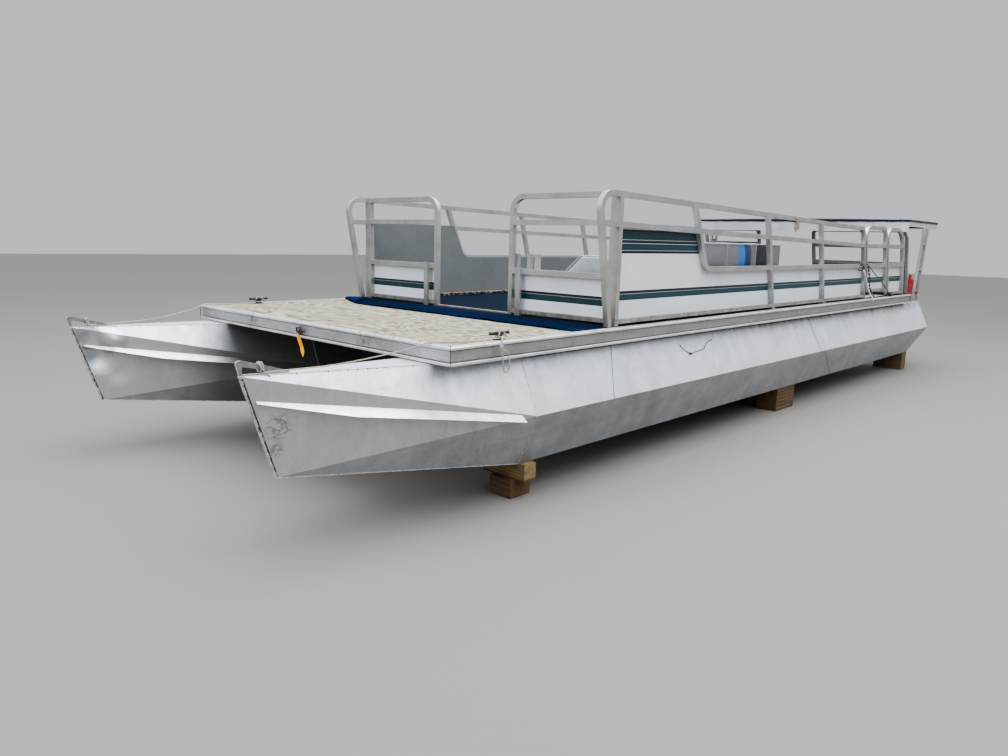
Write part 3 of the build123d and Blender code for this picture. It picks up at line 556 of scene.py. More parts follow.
# %% Plywood
def plywood_finish():
    """Folded noise for the figure, stretched noise for the fibres."""
    made = Finish("weathered_plywood", 0.85, Specular_IOR_Level=0.25)
    land = made.noise(1.25, (2.8, 0.8, 1.0), detail=3, rough=0.5, warp=0.5)
    figure = made.math("PINGPONG", made.times(land, 19.0), 0.5)
    fibres = made.noise(24, (5.0, 0.28, 1.0), detail=8, rough=0.72)
    patches = made.noise(2.4, (1.3, 0.6, 1), detail=6, rough=0.6)
    made.colour(made.ramp(figure, (0.02, (0.105, 0.090, 0.058)), (0.14, (0.22, 0.20, 0.145)),
                          (0.30, (0.36, 0.335, 0.255)), (0.50, (0.40, 0.385, 0.31))))
    made.coat((0.155, 0.14, 0.10), made.ramp(fibres, (0.36, 0.85), (0.56, 0.0)))
    made.coat((0.52, 0.50, 0.42), made.ramp(fibres, (0.57, 0.0), (0.76, 0.55)))
    made.coat((0.24, 0.235, 0.18), made.ramp(patches, (0.48, 0.0), (0.70, 0.60)))
    made.coat((0.12, 0.09, 0.06), made.ramp(made.cells(2.3, (1, 0.7, 1)), (0.0, 0.85), (0.030, 0.0)))
    made.bump(fibres, 0.0014, 0.8)
    made.bump(figure, 0.0010, 0.5)
    return made


dress(plywood_finish(), "deck_plywood")
print("plywood done")

# %% [markdown]
# ## Timber blocks
# Three kinds of lumber carry the boat: a pale sawn beam, a redder post under it, and brown blocks aft.
# A board's rings are circles round the log's heart, which lies outside the board, so distance from a line
# beside the board gives curved end grain and nearly straight side grain from one rule.

# %% Timber
BOW_POST_TOP = 0.110


def timber_finish(name, pale, deep, along, heart, red_below=None):
    """Sawn lumber with rings round the log's heart."""
    def grain(squeeze):
        return tuple(squeeze if letter == along else 1 for letter in "XYZ")

    made = Finish(name, 0.88)
    from_heart = made.vector("MULTIPLY", made.vector("SUBTRACT", made.place, heart), grain(0.04))
    far = made.vector("LENGTH", from_heart, out="Value")
    wobble = made.times(made.noise(3.0, (0.5, 0.5, 0.5), detail=3), 3.0)
    rings = made.math("PINGPONG", made.math("MULTIPLY_ADD", far, 75.0, wobble), 0.5)
    saw = made.noise(60, grain(0.15), detail=5, rough=0.7)
    made.colour(made.ramp(rings, (0.05, deep), (0.5, pale)))
    if red_below is not None:
        red = made.ramp(rings, (0.05, (0.075, 0.030, 0.012)), (0.5, (0.165, 0.078, 0.036)))
        made.coat(red, made.math("LESS_THAN", made.axis("Z"), red_below))
    made.coat(toned(deep, 0.5), made.ramp(saw, (0.40, 0.6), (0.62, 0.0)))
    made.coat((0.10, 0.08, 0.06), made.ramp(made.noise(7, detail=6), (0.48, 0.0), (0.75, 0.7)))
    made.bump(saw, 0.0015, 0.8)
    return made


TIMBERS = (
    ("bow", (0.36, 0.26, 0.13), (0.22, 0.135, 0.062), "Y", (2.4, 0.0, -0.1), BOW_POST_TOP),
    ("middle", (0.175, 0.105, 0.050), (0.085, 0.048, 0.022), "X", (0.0, 0.6, -0.2)),
    ("stern", (0.22, 0.145, 0.075), (0.12, 0.072, 0.034), "Y", (-3.6, 0.0, -0.1)),
)
for place, *kind in TIMBERS:
    dress(timber_finish(place + "_timber", *kind), place + "_blocks")
print(len(TIMBERS), "timbers")

# %% [markdown]
# ## Small finishes
# Hinges are scratched bright metal and cleats dark iron; the bottle is moulded red plastic, a little faded;
# the canopy's frame is chalky white paint, darkened and blued as painted shade. Weld metal is brighter and
# rougher than the sheet, and an open seam is nearly black.

# %% Hardware finishes
def bright_finish(name, tone=1.0, rough=0.28):
    """Scratched metal, its shine uneven."""
    made = Finish(name, rough, 0.9)
    made.colour(made.ramp(made.noise(45, detail=6, rough=0.7), (0.35, toned((0.30, 0.30, 0.30), tone)),
                          (0.65, toned((0.74, 0.74, 0.74), tone))))
    made.rough(made.ramp(made.noise(90, detail=3), (0.3, rough - 0.08), (0.7, rough + 0.16)))
    made.bump(made.noise(300, detail=2), 0.0003, 0.4)
    return made


def plastic_finish(name, tint, rough=0.42, dust=0.25):
    """Moulded plastic or paint, a little dusty."""
    made = Finish(name, rough)
    made.colour(made.ramp(made.noise(9, detail=6, rough=0.6), (0.3, toned(tint, 0.72)), (0.7, tint)))
    dusty = made.ramp(made.noise(30, detail=5, rough=0.7), (0.52, 0.0), (0.75, dust))
    made.coat(toned((0.5, 0.48, 0.45), 0.5 + 0.5 * max(tint)), dusty)
    made.bump(made.noise(420, detail=2), 0.0003, 0.5)
    return made


bright_metal = bright_finish("bright_metal")
weld_metal = bright_finish("weld_metal", 1.05, 0.45)
# Painted highlight: a brighter copy of the weld metal for the stem's welds.
stem_highlight_metal = bright_finish("stem_weld_highlight_metal", 1.3, 0.42)
dark_iron = bright_finish("dark_iron", 0.10, 0.55)
# Nearly black, for open seams, and for the painted shadow beside the stem welds.
dark_seam_and_shadow = plastic_finish("dark_seam_and_shadow", (0.035, 0.035, 0.035), 0.8)
dress(bright_metal, "gate_hinges")
dress(dark_iron, "deck_cleats")
dress(plastic_finish("red_plastic", (0.40, 0.038, 0.058)), "oil_bottle")
# Painted shade: the canopy frame's white paint is darkened and blued.
dress(plastic_finish("canopy_white_paint_shaded", (0.52, 0.54, 0.57), 0.36), "canopy_frame")
print("hardware done")

# %% [markdown]
# ## A kit for small parts
# Screws, rivets, welds and ropes are hundreds of little shapes. Each kind is gathered in one mesh,
# so the boat gets one piece per kind instead of hundreds. Nearly all of them are rings of points skinned in a
# row: a bar swept along a path, a ribbon, a plate or a low dome. Sweeping needs a pair of side directions at
# each point that turn as little as possible, otherwise the bar would twist.

# %% Paths
def frames(path, closed=False):
    """Two side directions at each point of a path."""
    last = len(path) - 1
    pairs = []
    side = None
    for number, point in enumerate(path):
        before = path[number - 1] if number or closed else point
        after = path[(number + 1) % len(path)] if number < last or closed else point
        tangent = (after - before).normalized()
        if side is None:
            side = tangent.orthogonal()
        side = (side - tangent * side.dot(tangent)).normalized()
        pairs.append((side, tangent.cross(side)))
    return pairs


def around(side, up, n, sides):
    """The direction n parts of a turn round a path, out of so many sides."""
    angle = math.tau * n / sides
    return side * math.cos(angle) + up * math.sin(angle)


def evenly(path, step):
    """Points at even steps along straight runs."""
    points = [path[0]]
    for start, end in zip(path, path[1:]):
        count = max(1, round((end - start).length / step))
        points.extend(start.lerp(end, n / count) for n in range(1, count + 1))
    return points


# %% Small-part kit
DOME_RINGS = ((1.0, -0.2), (1.0, 0.25), (0.82, 0.7), (0.45, 0.95))


class Parts:
    """Many small shapes gathered in one mesh."""

    def __init__(self):
        self.points = []
        self.faces = []

    def add(self, points, faces):
        base = len(self.points)
        self.points.extend(tuple(point) for point in points)
        self.faces.extend(tuple(base + n for n in face) for face in faces)

    def rings(self, points, sides, closed=False, tip=None):
        """Skin a row of rings: closed on itself, drawn in to a tip, or capped at both ends."""
        count = len(points) // sides
        faces = []
        for i in range(count if closed else count - 1):
            here, there = i * sides, (i + 1) % count * sides
            for n in range(sides):
                after = (n + 1) % sides
                faces.append((here + n, here + after, there + after, there + n))
        last = (count - 1) * sides
        if tip:
            faces.extend((last + n, last + (n + 1) % sides, len(points)) for n in range(sides))
            points = [*points, tip]
        elif not closed:
            faces += [tuple(reversed(range(sides))), tuple(range(last, last + sides))]
        self.add(points, faces)

    def tube(self, path, radius, sides=8, closed=False):
        """A bar along a path; the radius is one number, or one for each point."""
        radii = radius if isinstance(radius, list) else [radius] * len(path)
        self.rings([point + around(*pair, n, sides) * reach
                    for point, pair, reach in zip(path, frames(path, closed), radii) for n in range(sides)],
                   sides, closed)

    def ribbon(self, path, widths, thickness, across):
        """A flat band along a path, its width along one direction."""
        points = []
        for point, width, (side, up) in zip(path, widths, frames(path)):
            tangent = side.cross(up)
            wide = (across - tangent * across.dot(tangent)).normalized()
            thick = tangent.cross(wide)
            points += [point + wide * (a * width / 2) + thick * (b * thickness / 2) for a, b in SQUARE]
        self.rings(points, 4)

    def dome(self, place, outward, radius, rise, sides=10):
        """A low round head, such as a rivet's."""
        out = outward.normalized()
        side = out.orthogonal().normalized()
        up = out.cross(side)
        self.rings([place + around(side, up, n, sides) * radius * share + out * rise * lift
                    for share, lift in DOME_RINGS for n in range(sides)], sides, tip=place + out * rise)

    def studs(self, places, outward, radius, rise, sides=10):
        """A dome at each station, side and level."""
        for place in places:
            self.dome(at(*place), outward, radius, rise, sides)

    def bolt(self, place, outward, radius, height):
        """A six-sided head on a washer."""
        out = outward.normalized()
        self.tube([place - out * 0.001, place + out * 0.0015], radius * 1.7, 14)
        self.tube([place + out * 0.0015, place + out * height, place + out * (height + 0.001)],
                  [radius, radius, radius * 0.8], 6)

    def block(self, centre, size):
        """A plain box, for a plate."""
        self.rings([centre + Vector((x * size[0], y * size[1], z * size[2])) / 2
                    for z in (-1, 1) for x, y in SQUARE], 4)

    def piece(self, name, finish, body="hull", slot=None, crease=40):
        """The gathered shapes as one piece on a body."""
        made = placed(name, self.points, self.faces, finish)
        made.data.shade_smooth()
        made.data.set_sharp_from_angle(angle=math.radians(crease))
        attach(made, body)
        print(name, len(self.faces), "faces")
        return made


# %% [markdown]
# ## Rope
# Three strands twist round a common line. The line itself is a smooth spline through the air and round the
# fittings, drawn with few control points, and the strands follow the points that the spline gives.
# Each strand makes one full turn in 3.4 diameters, which is about 27 mm on the 8 mm line.

# %% Rope kit
ROPE = 0.008
LAY = 3.4
STRAND = 0.27
FINENESS = 64


def spline_points(controls, step=0.002):
    """Points along the smooth line that the control points steer, at least a step apart."""
    data = bpy.data.curves.new("guide", "CURVE")
    data.dimensions = "3D"
    data.resolution_u = FINENESS
    spline = data.splines.new("NURBS")
    spline.points.add(len(controls) - 1)
    for mark, point in zip(spline.points, controls):
        mark.co = (*point, 1)
    spline.order_u = 3
    spline.use_endpoint_u = True
    spline.resolution_u = FINENESS
    guide = bpy.data.objects.new("guide", data)
    scene.collection.objects.link(guide)
    bpy.context.view_layer.update()
    kept = []
    for vertex in bpy.data.meshes.new_from_object(guide).vertices:
        if not kept or (vertex.co - kept[-1]).length >= step:
            kept.append(vertex.co.copy())
    bpy.data.objects.remove(guide)
    return kept


def rope_finish(name, pale, deep):
    """Weathered line: fuzzy, with greyer patches."""
    made = Finish(name, 0.9, Sheen_Weight=0.3)
    fuzz = made.noise(900, detail=2)
    made.colour(made.ramp(fuzz, (0.3, deep), (0.62, pale)))
    made.coat(toned(deep, 0.7), made.ramp(made.noise(30, detail=5, rough=0.7), (0.5, 0.0), (0.75, 0.5)))
    made.bump(fuzz, 0.0006, 0.8)
    return made


white_line = rope_finish("white_line", (0.52, 0.485, 0.41), (0.19, 0.165, 0.125))
stern_line = rope_finish("stern_line", (0.82, 0.80, 0.76), (0.48, 0.46, 0.42))
black_cord = rope_finish("black_cord", (0.035, 0.035, 0.036), (0.012, 0.012, 0.012))


def lay_rope(name, line, diameter=ROPE, finish=white_line):
    """Three twisted strands along a line, as one piece."""
    parts = Parts()
    offset = (0.5 - STRAND) * diameter
    paths = [[], [], []]
    run = 0.0
    before = line[0]
    for point, (side, up) in zip(line, frames(line)):
        run += (point - before).length
        before = point
        for third, path in enumerate(paths):
            path.append(point + around(side, up, run / (LAY * diameter) + third / 3, 1) * offset)
    for path in paths:
        parts.tube(path, STRAND * diameter, 6)
    return parts.piece(name, finish, slot="rope_white")


print("rope lay", round(LAY * ROPE * 1000), "mm")

# %% [markdown]
# ## Bow lines
# Each stem's plate has a slot, and a line is hitched through it, round the plate's upper rim.
# From there it runs back over the bow moulding to a cleat, where it is belayed: once round the base, then
# once over each horn. The near line lies almost straight; the far one hangs a little.

# %% Hitches and turns
SIDES = (1, -1)
plate_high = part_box("tow_plates")[1]
PLATE_FRONT = BOW - plate_high.x
PLATE_SIDE = plate_high.y - 0.004
RIM_SLOPE = 0.21
RIM_MIDDLE = 0.012
BOW_LINE = 0.0065
CLEAT_STATION = 0.380
CLEAT_SIDE = 1.150
print("tow plates start", round(-PLATE_FRONT, 3), "m ahead of the deck")


def rim_turn(back, drift, y):
    """Controls of one turn round the plate's sloping rim, up the far side and down the near one."""
    rounds = ((0.0, -0.023), (-0.011, -0.012), (-0.011, 0.012), (0.0, 0.023), (0.011, 0.012), (0.011, -0.012))
    rim = plate_high.z - DECK - RIM_MIDDLE - RIM_SLOPE * back
    return [at(PLATE_FRONT + back + drift * n / 6, y + out, rim + lift) for n, (out, lift) in enumerate(rounds)]


def hitch(side):
    """Controls of two crossed turns round a plate's rim; the cut end hangs over the near side."""
    y = side * PLATE_SIDE
    tail = ((0.130, 0.027, -0.076), (0.120, 0.021, -0.064), (0.105, 0.014, -0.048), (0.094, 0.010, -0.028),
            (0.090, 0.0, -0.016), (0.090, -0.011, -0.030))
    away = ((0.117, 0.006, -0.060), (0.130, 0.010, -0.060))
    start, end = [[at(PLATE_FRONT + back, y + out, level) for back, out, level in run] for run in (tail, away)]
    return start + rim_turn(0.094, 0.006, y) + rim_turn(0.105, 0.004, y) + end


def belay(side):
    """Controls of the turns on a bow cleat: round the base, then once over each horn."""
    base = ((-0.045, 0.003, 0.008), (-0.020, 0.013, 0.007), (0.014, 0.014, 0.007), (0.025, 0.0, 0.008),
            (0.014, -0.014, 0.009), (-0.016, -0.014, 0.011), (-0.026, 0.0, 0.013), (-0.018, 0.014, 0.017))
    over = ((0.0, 0.006, 0.043), (0.022, -0.013, 0.034), (0.040, -0.012, 0.014), (0.048, 0.0, 0.012),
            (0.040, 0.012, 0.014), (0.022, 0.013, 0.034), (0.0, 0.0, 0.048), (-0.020, -0.010, 0.034),
            (-0.026, 0.002, 0.016), (-0.014, 0.010, 0.014), (-0.006, 0.0085, 0.012))
    return [at(CLEAT_STATION + aft, side * (CLEAT_SIDE + out), level) for aft, out, level in base + over]


# %% Bow lines
SPANS = {
    "port": route(
        (-0.667, 0.982, -0.0605), (-0.520, 0.999, -0.0605), (-0.400, 1.014, -0.0545), (-0.241, 1.035, -0.0370),
        (-0.142, 1.048, -0.0235), (-0.045, 1.062, -0.0075), (-0.006, 1.067, 0.0060), (0.04, 1.070, 0.0035),
        (0.12, 1.112, 0.002), (0.20, 1.140, 0.002), (0.29, 1.150, 0.003)),
    "starboard": route(
        (-0.62, -1.005, -0.062), (-0.40, -1.065, -0.064), (-0.18, -1.130, -0.040), (-0.05, -1.166, -0.016),
        (-0.004, -1.176, 0.007), (0.05, -1.176, 0.006), (0.14, -1.166, 0.003), (0.24, -1.156, 0.002),
        (0.30, -1.150, 0.004)),
}
for (name, span), side in zip(SPANS.items(), SIDES):
    lay_rope(name + "_bow_line", spline_points(hitch(side) + span + belay(side)), BOW_LINE)

# %% [markdown]
# ## The loose tail
# Below the near cleat the end of that line hangs over the moulding in a small bight, tied near its top.
# It is a free cord, so its line repeats the CAD route's points in metres, and its strands follow the spline.

# %% Line tail
TAIL_ROUTE = (
    (0.374, 1.1578, 0.012), (0.374, 1.178, 0.013), (0.346, 1.208, 0.018), (0.314, 1.234, 0.012),
    (0.302, 1.241, -0.020), (0.308, 1.241, -0.062), (0.318, 1.241, -0.102), (0.326, 1.239, -0.146),
    (0.356, 1.239, -0.146), (0.363, 1.241, -0.112), (0.352, 1.243, -0.074),
)
tail_line = spline_points(route(*TAIL_ROUTE))
port_line_tail = lay_rope("port_line_tail_rope", tail_line)
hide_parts("port_line_tail")

KNOT_TURN = ((0.309, 1.2505, 0.0), (0.297, 1.244, 0.002), (0.303, 1.2335, 0.004), (0.315, 1.240, 0.006))
knot_route = route((0.350, 1.2435, -0.070), (0.342, 1.244, -0.052), (0.326, 1.246, -0.042))
for foot in (-0.036, -0.0275, -0.019):
    knot_route += [at(station, y, foot + lift) for station, y, lift in KNOT_TURN]
line_knot = lay_rope("port_line_knot", spline_points(knot_route))

# %% [markdown]
# ## Welds and seams on the floats
# A float is a wedge and a six-sided tube welded together, with plate joints further aft.
# The lines where they meet are found by cutting a copy of the float with a plane, so each bead lies on the
# sheet. A weld bead is a bar whose radius swells at each drop of metal; a joint that was only riveted is a thin
# dark gap. The stem's welds are a brighter copy of the weld metal, a painted highlight, and the row of dark
# domes beside them is a painted shadow of the weld.

# %% Cutting lines
UP = Vector((0, 0, 1))
FORWARD = Vector((1, 0, 0))
TINY = 1e-5


def cut_line(name, point, normal):
    """The outline where a plane cuts a CAD node, as ordered points."""
    mesh = bmesh.new()
    mesh.from_mesh(nodes[name].data)
    mesh.transform(nodes[name].matrix_world)
    bmesh.ops.remove_doubles(mesh, verts=mesh.verts[:], dist=TINY)
    cut = bmesh.ops.bisect_plane(mesh, geom=mesh.verts[:] + mesh.edges[:] + mesh.faces[:], dist=TINY,
                                 plane_co=point, plane_no=normal)
    edges = [item for item in cut["geom_cut"] if isinstance(item, bmesh.types.BMEdge)]
    linked = {}
    for edge in edges:
        for here, there in (edge.verts, reversed(edge.verts)):
            linked.setdefault(here, []).append(there)
    seen = [edges[0].verts[0]]
    while onward := [vert for vert in linked[seen[-1]] if vert not in seen]:
        seen.append(onward[0])
    line = [vert.co.copy() for vert in (*seen, seen[0])]
    mesh.free()
    return line


def kept_runs(line, low, high):
    """The parts of a line that lie between two levels."""
    runs = [[]]
    for point in line:
        if DECK + low < point.z < DECK + high:
            runs[-1].append(point)
        elif runs[-1]:
            runs.append([])
    return [run for run in runs if len(run) > 2]


def bead(parts, line, radius, drop=0.011):
    """A weld bead that swells at each drop."""
    path = evenly(line, drop / 4)
    parts.tube(path, [radius * (0.72 + 0.28 * abs(math.sin(math.pi * n / 4))) for n in range(len(path))], 6)


# %% Float welds
KNUCKLE = -0.383
FLOAT_TOP = -0.110
FLOAT_FOOT = -0.656
STEM_FOOT = 0.70
STERN_WELD = 6.945
STEM_DROP = 0.014
SHADOW_DOT_STEP = 0.0075
SPOT_STEP = 0.045
JOINTS = (
    (1.19, 1.30, FLOAT_TOP, "gap"), (3.77, 3.77, FLOAT_TOP, "weld"), (4.14, 4.09, FLOAT_TOP, "gap"),
    (4.22, 4.72, FLOAT_FOOT, "gap"),
)


def float_welds(name, node):
    """Beads on the wedge's edges and round the tube's ends, painted shadow along the stem, dark spots on the
    crease.
    """
    welds, shadow_and_spots, stem = Parts(), Parts(), Parts()
    bead(welds, cut_line(node, at(WEDGE_END - 0.004, 0, 0), FORWARD), 0.0035)
    bead(welds, cut_line(node, at(STERN_WELD, 0, 0), FORWARD), 0.003)
    corners = [nodes[node].matrix_world @ vertex.co for vertex in nodes[node].data.vertices]
    tips = [point for point in corners if point.x > BOW + STEM_FOOT]
    roots = [point for point in corners if abs(point.x - (BOW - WEDGE_END)) < 0.002]
    middle = sum(point.y for point in tips) / len(tips)
    for side in SIDES:
        ends = [[point for point in group if (point.y - middle) * side > 0] for group in (tips, roots)]
        top, crown = [max(group, key=lambda point: point.z) for group in ends]
        foot, keel = [min(group, key=lambda point: point.z) for group in ends]
        out = Vector((0, side, 0))
        bead(stem, [top, foot], 0.0036, STEM_DROP)
        # Painted shadow of the stem weld: a row of dark domes just aft of it.
        for point in evenly([top, foot], SHADOW_DOT_STEP)[2:-1]:
            wander = noise.noise(point * 60)
            shadow_and_spots.dome(point + Vector((-0.0060 + 0.004 * wander, side * 0.0025, 0)), out,
                      0.0036 + 0.0030 * wander, 0.0012, 8)
        for point in evenly([top, crown], SPOT_STEP)[1:-1]:
            if noise.noise(point * 35) > 0.0:
                shadow_and_spots.dome(point + Vector((0, side * 0.002, -0.002)), out, 0.0034, 0.0010, 8)
        bead(welds, [top, crown], 0.0022)
        bead(welds, [foot, keel], 0.0026)
    shadow_and_spots.piece(name + "_weld_shadow_and_spots", dark_seam_and_shadow)
    stem.piece(name + "_welds_stem", stem_highlight_metal, slot="pontoon_aluminium")
    welds.piece(name + "_welds", weld_metal, slot="pontoon_aluminium")


def float_seams(name, node):
    """Plate joints: a dark gap with a row of small rivets beside it, or one weld."""
    gaps, rivets = Parts(), Parts()
    low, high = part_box(node)
    middle = (low.y + high.y) / 2
    for start, end, limit, kind in JOINTS:
        along = at(end, 0, limit) - at(start, 0, KNUCKLE)
        line = evenly(cut_line(node, at(start, 0, KNUCKLE), along.cross(Vector((0, 1, 0)))), 0.02)
        bounds = (KNUCKLE, 1.0) if limit == FLOAT_TOP else (FLOAT_FOOT + 0.004, KNUCKLE)
        for run in kept_runs(line, *bounds):
            if kind == "weld":
                bead(rivets, run, 0.0030)
                continue
            gaps.tube(run, 0.0021, 6)
            for point in run[2:-1:4]:
                rivets.dome(point + FORWARD * 0.016, point - Vector((point.x, middle, DECK + KNUCKLE)),
                            0.0042, 0.003)
    gaps.piece(name + "_gaps", dark_seam_and_shadow)
    rivets.piece(name + "_rivets", weld_metal, slot="pontoon_aluminium")


for detail in (float_welds, float_seams):
    for side in ("port", "starboard"):
        detail(side + "_float", side + "_pontoon")

# %% Loose wire on the near float
wire = Parts()
wire_route = route(
    (2.018, 1.174, -0.160), (2.030, 1.184, -0.187), (2.070, 1.193, -0.205), (2.100, 1.202, -0.224),
    (2.124, 1.202, -0.224), (2.214, 1.198, -0.216), (2.300, 1.196, -0.210), (2.336, 1.181, -0.178),
    (2.385, 1.176, -0.166), (2.438, 1.174, -0.160))
wire.tube(spline_points(wire_route, 0.01), 0.0026, 6)
wire.add(route((2.088, 1.205, -0.231), (2.134, 1.205, -0.231), (2.110, 1.197, -0.212), (2.110, 1.195, -0.226)),
         [(0, 1, 2), (1, 0, 3), (2, 1, 3), (0, 2, 3)])
wire.dome(at(4.112, 1.2555, -0.350), Vector((0, 0.92, 0.4)), 0.007, 0.001)
wire.tube(route((3.610, 1.192, -0.520), (3.622, 1.164, -0.585)), 0.0024, 6)
wire.piece("float_wire", dark_seam_and_shadow)

# %% [markdown]
# ## Moulding hardware
# The moulding is screwed down through its top bead and bolted at the corners, and its lengths meet in seams.
# At the bow there is a mooring eye: a dark ring on a shank, with a knob of line beside it and an orange marker
# ribbon tied on. The ribbon is plastic tape, so it is a thin sheet that hangs and curls a little.

# %% Screws, bolts and seams
WEB = 0.018
WEB_SEAM = (-0.019, -0.071)
screws, bolts, gaps = Parts(), Parts(), Parts()
screws.studs([(0.012, 0.999, 0.0), (0.030, 1.187, 0.0)], UP, 0.006, 0.0028)
screws.studs([(0.009, number * 0.27, 0.0) for number in range(-4, 5)], UP, 0.0045, 0.0022)
for side in SIDES:
    out = Vector((0, side, 0))
    screws.studs([(0.22 + n * 0.42, side * (HALF_DECK - 0.009), 0.0) for n in range(16)], UP, 0.0045, 0.0022)
    for y, level in ((1.126, -0.043), (1.153, -0.047)):
        bolts.bolt(at(WEB, side * y, level), FORWARD, 0.0065, 0.006)
    for station in (6.58, 6.64):
        bolts.bolt(at(station, side * (HALF_DECK - WEB), -0.045), out, 0.0065, 0.006)
    for inset, edge, top, foot, radius in ((0.0012, 0.0012, -0.002, -0.088, 0.0018),
                                           (0.002, 0.044, -0.0004, -0.0004, 0.0012)):
        gaps.tube(route((inset, side * (HALF_DECK - inset), top), (edge, side * (HALF_DECK - edge), foot)),
                  radius, 6)
    web_side = HALF_DECK - WEB + 0.0004
    for station, y in ((WEB - 0.0004, BOW_JOINT), (2.44, web_side), (4.88, web_side)):
        gaps.tube([at(station, side * y, level) for level in WEB_SEAM], 0.0016, 6)
gaps.dome(at(WEB, 0.334, -0.043), FORWARD, 0.006, 0.001)
screws.piece("trim_screws", dark_iron)
bolts.piece("trim_bolts", bright_metal)
gaps.piece("trim_gaps", dark_seam_and_shadow)

# %% Bow eye and ribbon
EYE_SIDE = -0.018
EYE_STEPS = 28
RIBBON_WIDTH = 0.018
eye = Parts()
turns = [math.tau * n / EYE_STEPS for n in range(EYE_STEPS)]
round_eye = [(math.cos(turn), math.sin(turn)) for turn in turns]
eye.tube([at(-0.001 - 0.006 * a, EYE_SIDE + 0.017 * b, -0.050 + 0.019 * a) for a, b in round_eye], 0.0048, 10,
         closed=True)
eye.tube(route((WEB, EYE_SIDE, -0.034), (-0.006, EYE_SIDE, -0.034)), 0.006, 10)
eye.tube(route((WEB, EYE_SIDE, -0.034), (WEB - 0.004, EYE_SIDE, -0.034)), 0.013, 14)
knob = route(
    (-0.004, -0.006, -0.040), (-0.012, 0.010, -0.030), (-0.010, 0.024, -0.040), (-0.004, 0.024, -0.058),
    (-0.010, 0.010, -0.066), (-0.014, -0.002, -0.056), (-0.008, 0.008, -0.046), (-0.002, 0.018, -0.050))
eye.tube(spline_points(knob), 0.0050)
eye.piece("bow_eye", black_cord)

ribbon_finish = Finish("orange_ribbon_tape", 0.45)
ribbon_finish.colour(ribbon_finish.ramp(ribbon_finish.noise(30, detail=3),
                                        (0.35, (0.95, 0.30, 0.0)), (0.6, (1.0, 0.44, 0.005))))
ribbon_route = route((-0.006, -0.012, -0.062), (-0.012, -0.004, -0.082), (-0.008, 0.007, -0.108),
                     (-0.004, 0.018, -0.138), (-0.008, 0.032, -0.166), (-0.012, 0.042, -0.192))
ribbon_line = spline_points(ribbon_route, 0.005)
ribbon_widths = [RIBBON_WIDTH * min(1.0, (len(ribbon_line) - n - 0.7) / 6) for n in range(len(ribbon_line))]
ribbon_parts = Parts()
ribbon_parts.ribbon(ribbon_line, ribbon_widths, 0.0006, Vector((-0.80, 0.56, 0.18)))
ribbon = ribbon_parts.piece("orange_ribbon", ribbon_finish)

# %% [markdown]
# ## Fence hardware
# The fence's posts stand on small foot plates, each with two screws. The top rail was joined in lengths,
# so a dark ring shows at each joint, and rivets hold the sheets to the posts.
# The canopy's legs end in a bolted bracket on the side moulding.

# %% Feet, joints and rivets
FENCE_SIDE = 1.156
FENCE_FACE = FENCE_SIDE + 0.0158
TUBE_HALF = 0.016
JOINT_HALF = 0.0161
RAIL_HIGH, RAIL_FALL = 0.750, 0.090
RAIL_START, RAIL_LENGTH = 1.312, 4.038
MID_RAIL = 0.298
MID_RIVETS = (2.75, 3.0, 3.257, 3.55, 3.85, 4.53, 4.74, 4.94, 5.14, 6.060, 6.24, 6.42)
RAIL_JOINTS = (2.533, 2.965, 4.09)
POST_FEET = {1: (3.3596, 4.349, 5.350), -1: (3.2257, 4.1307, 5.350)}


def rail_top(station):
    """Level of the side rail's top, which falls a little on its way aft."""
    return RAIL_HIGH - RAIL_FALL * (station - RAIL_START) / RAIL_LENGTH


feet, foot_screws, joints, rivets, gate_rivets, brackets, bracket_bolts = (Parts() for n in range(7))
for side, stations in POST_FEET.items():
    out = Vector((0, side, 0))
    for station in stations:
        feet.block(at(station, side * FENCE_SIDE, 0.0055), (0.062, 0.046, 0.005))
        foot_screws.studs([(station + shift, side * FENCE_SIDE, 0.008) for shift in (0.024, -0.024)],
                          UP, 0.0055, 0.003)
    foot_screws.studs([(CLEAT_STATION + shift, side * CLEAT_SIDE, 0.002) for shift in (-0.022, 0.022)],
                      UP, 0.0045, 0.0024)
    for station in RAIL_JOINTS:
        level = rail_top(station) - TUBE_HALF
        joints.tube([at(station, side * (FENCE_SIDE + a * JOINT_HALF), level + b * JOINT_HALF)
                     for a, b in SQUARE], 0.0010, 4, closed=True)
        rivets.studs([(station + shift, side * FENCE_FACE, level) for shift in (-0.012, 0.012)],
                     out, 0.0034, 0.0024)
    rivets.studs([(station, side * FENCE_FACE, MID_RAIL) for station in MID_RIVETS], out, 0.0042, 0.0026)
    rivets.studs([(1.42 + n * 0.30, side * FENCE_FACE, 0.027) for n in range(13)], out, 0.0036, 0.0022)
    rivets.studs([(1.234, side * y, 0.264) for y in (0.60, 0.78, 0.96)], FORWARD, 0.0040, 0.0026)
    for station in (6.665, 6.775):
        brackets.block(at(station, side * (HALF_DECK + 0.0262), -0.030), (0.034, 0.0024, 0.052))
        for level in (-0.016, -0.044):
            bracket_bolts.bolt(at(station, side * (HALF_DECK + 0.0274), level), out, 0.0065, 0.005)
gate_rivets.studs([(station, FENCE_FACE, MID_RAIL) for station in (5.50, 5.66, 5.82)],
                  Vector((0, 1, 0)), 0.0042, 0.0026)
feet.piece("post_feet", frame_tube, slot="frame_aluminium")
joints.piece("rail_joints", dark_seam_and_shadow)
rivets.piece("fence_rivets", bright_metal)
gate_rivets.piece("gate_rivets", bright_metal, body="port_gate")
brackets.piece("leg_brackets", frame_tube, slot="frame_aluminium")
bracket_bolts.piece("leg_bolts", bright_metal)
foot_screws.piece("foot_screws", bright_metal)

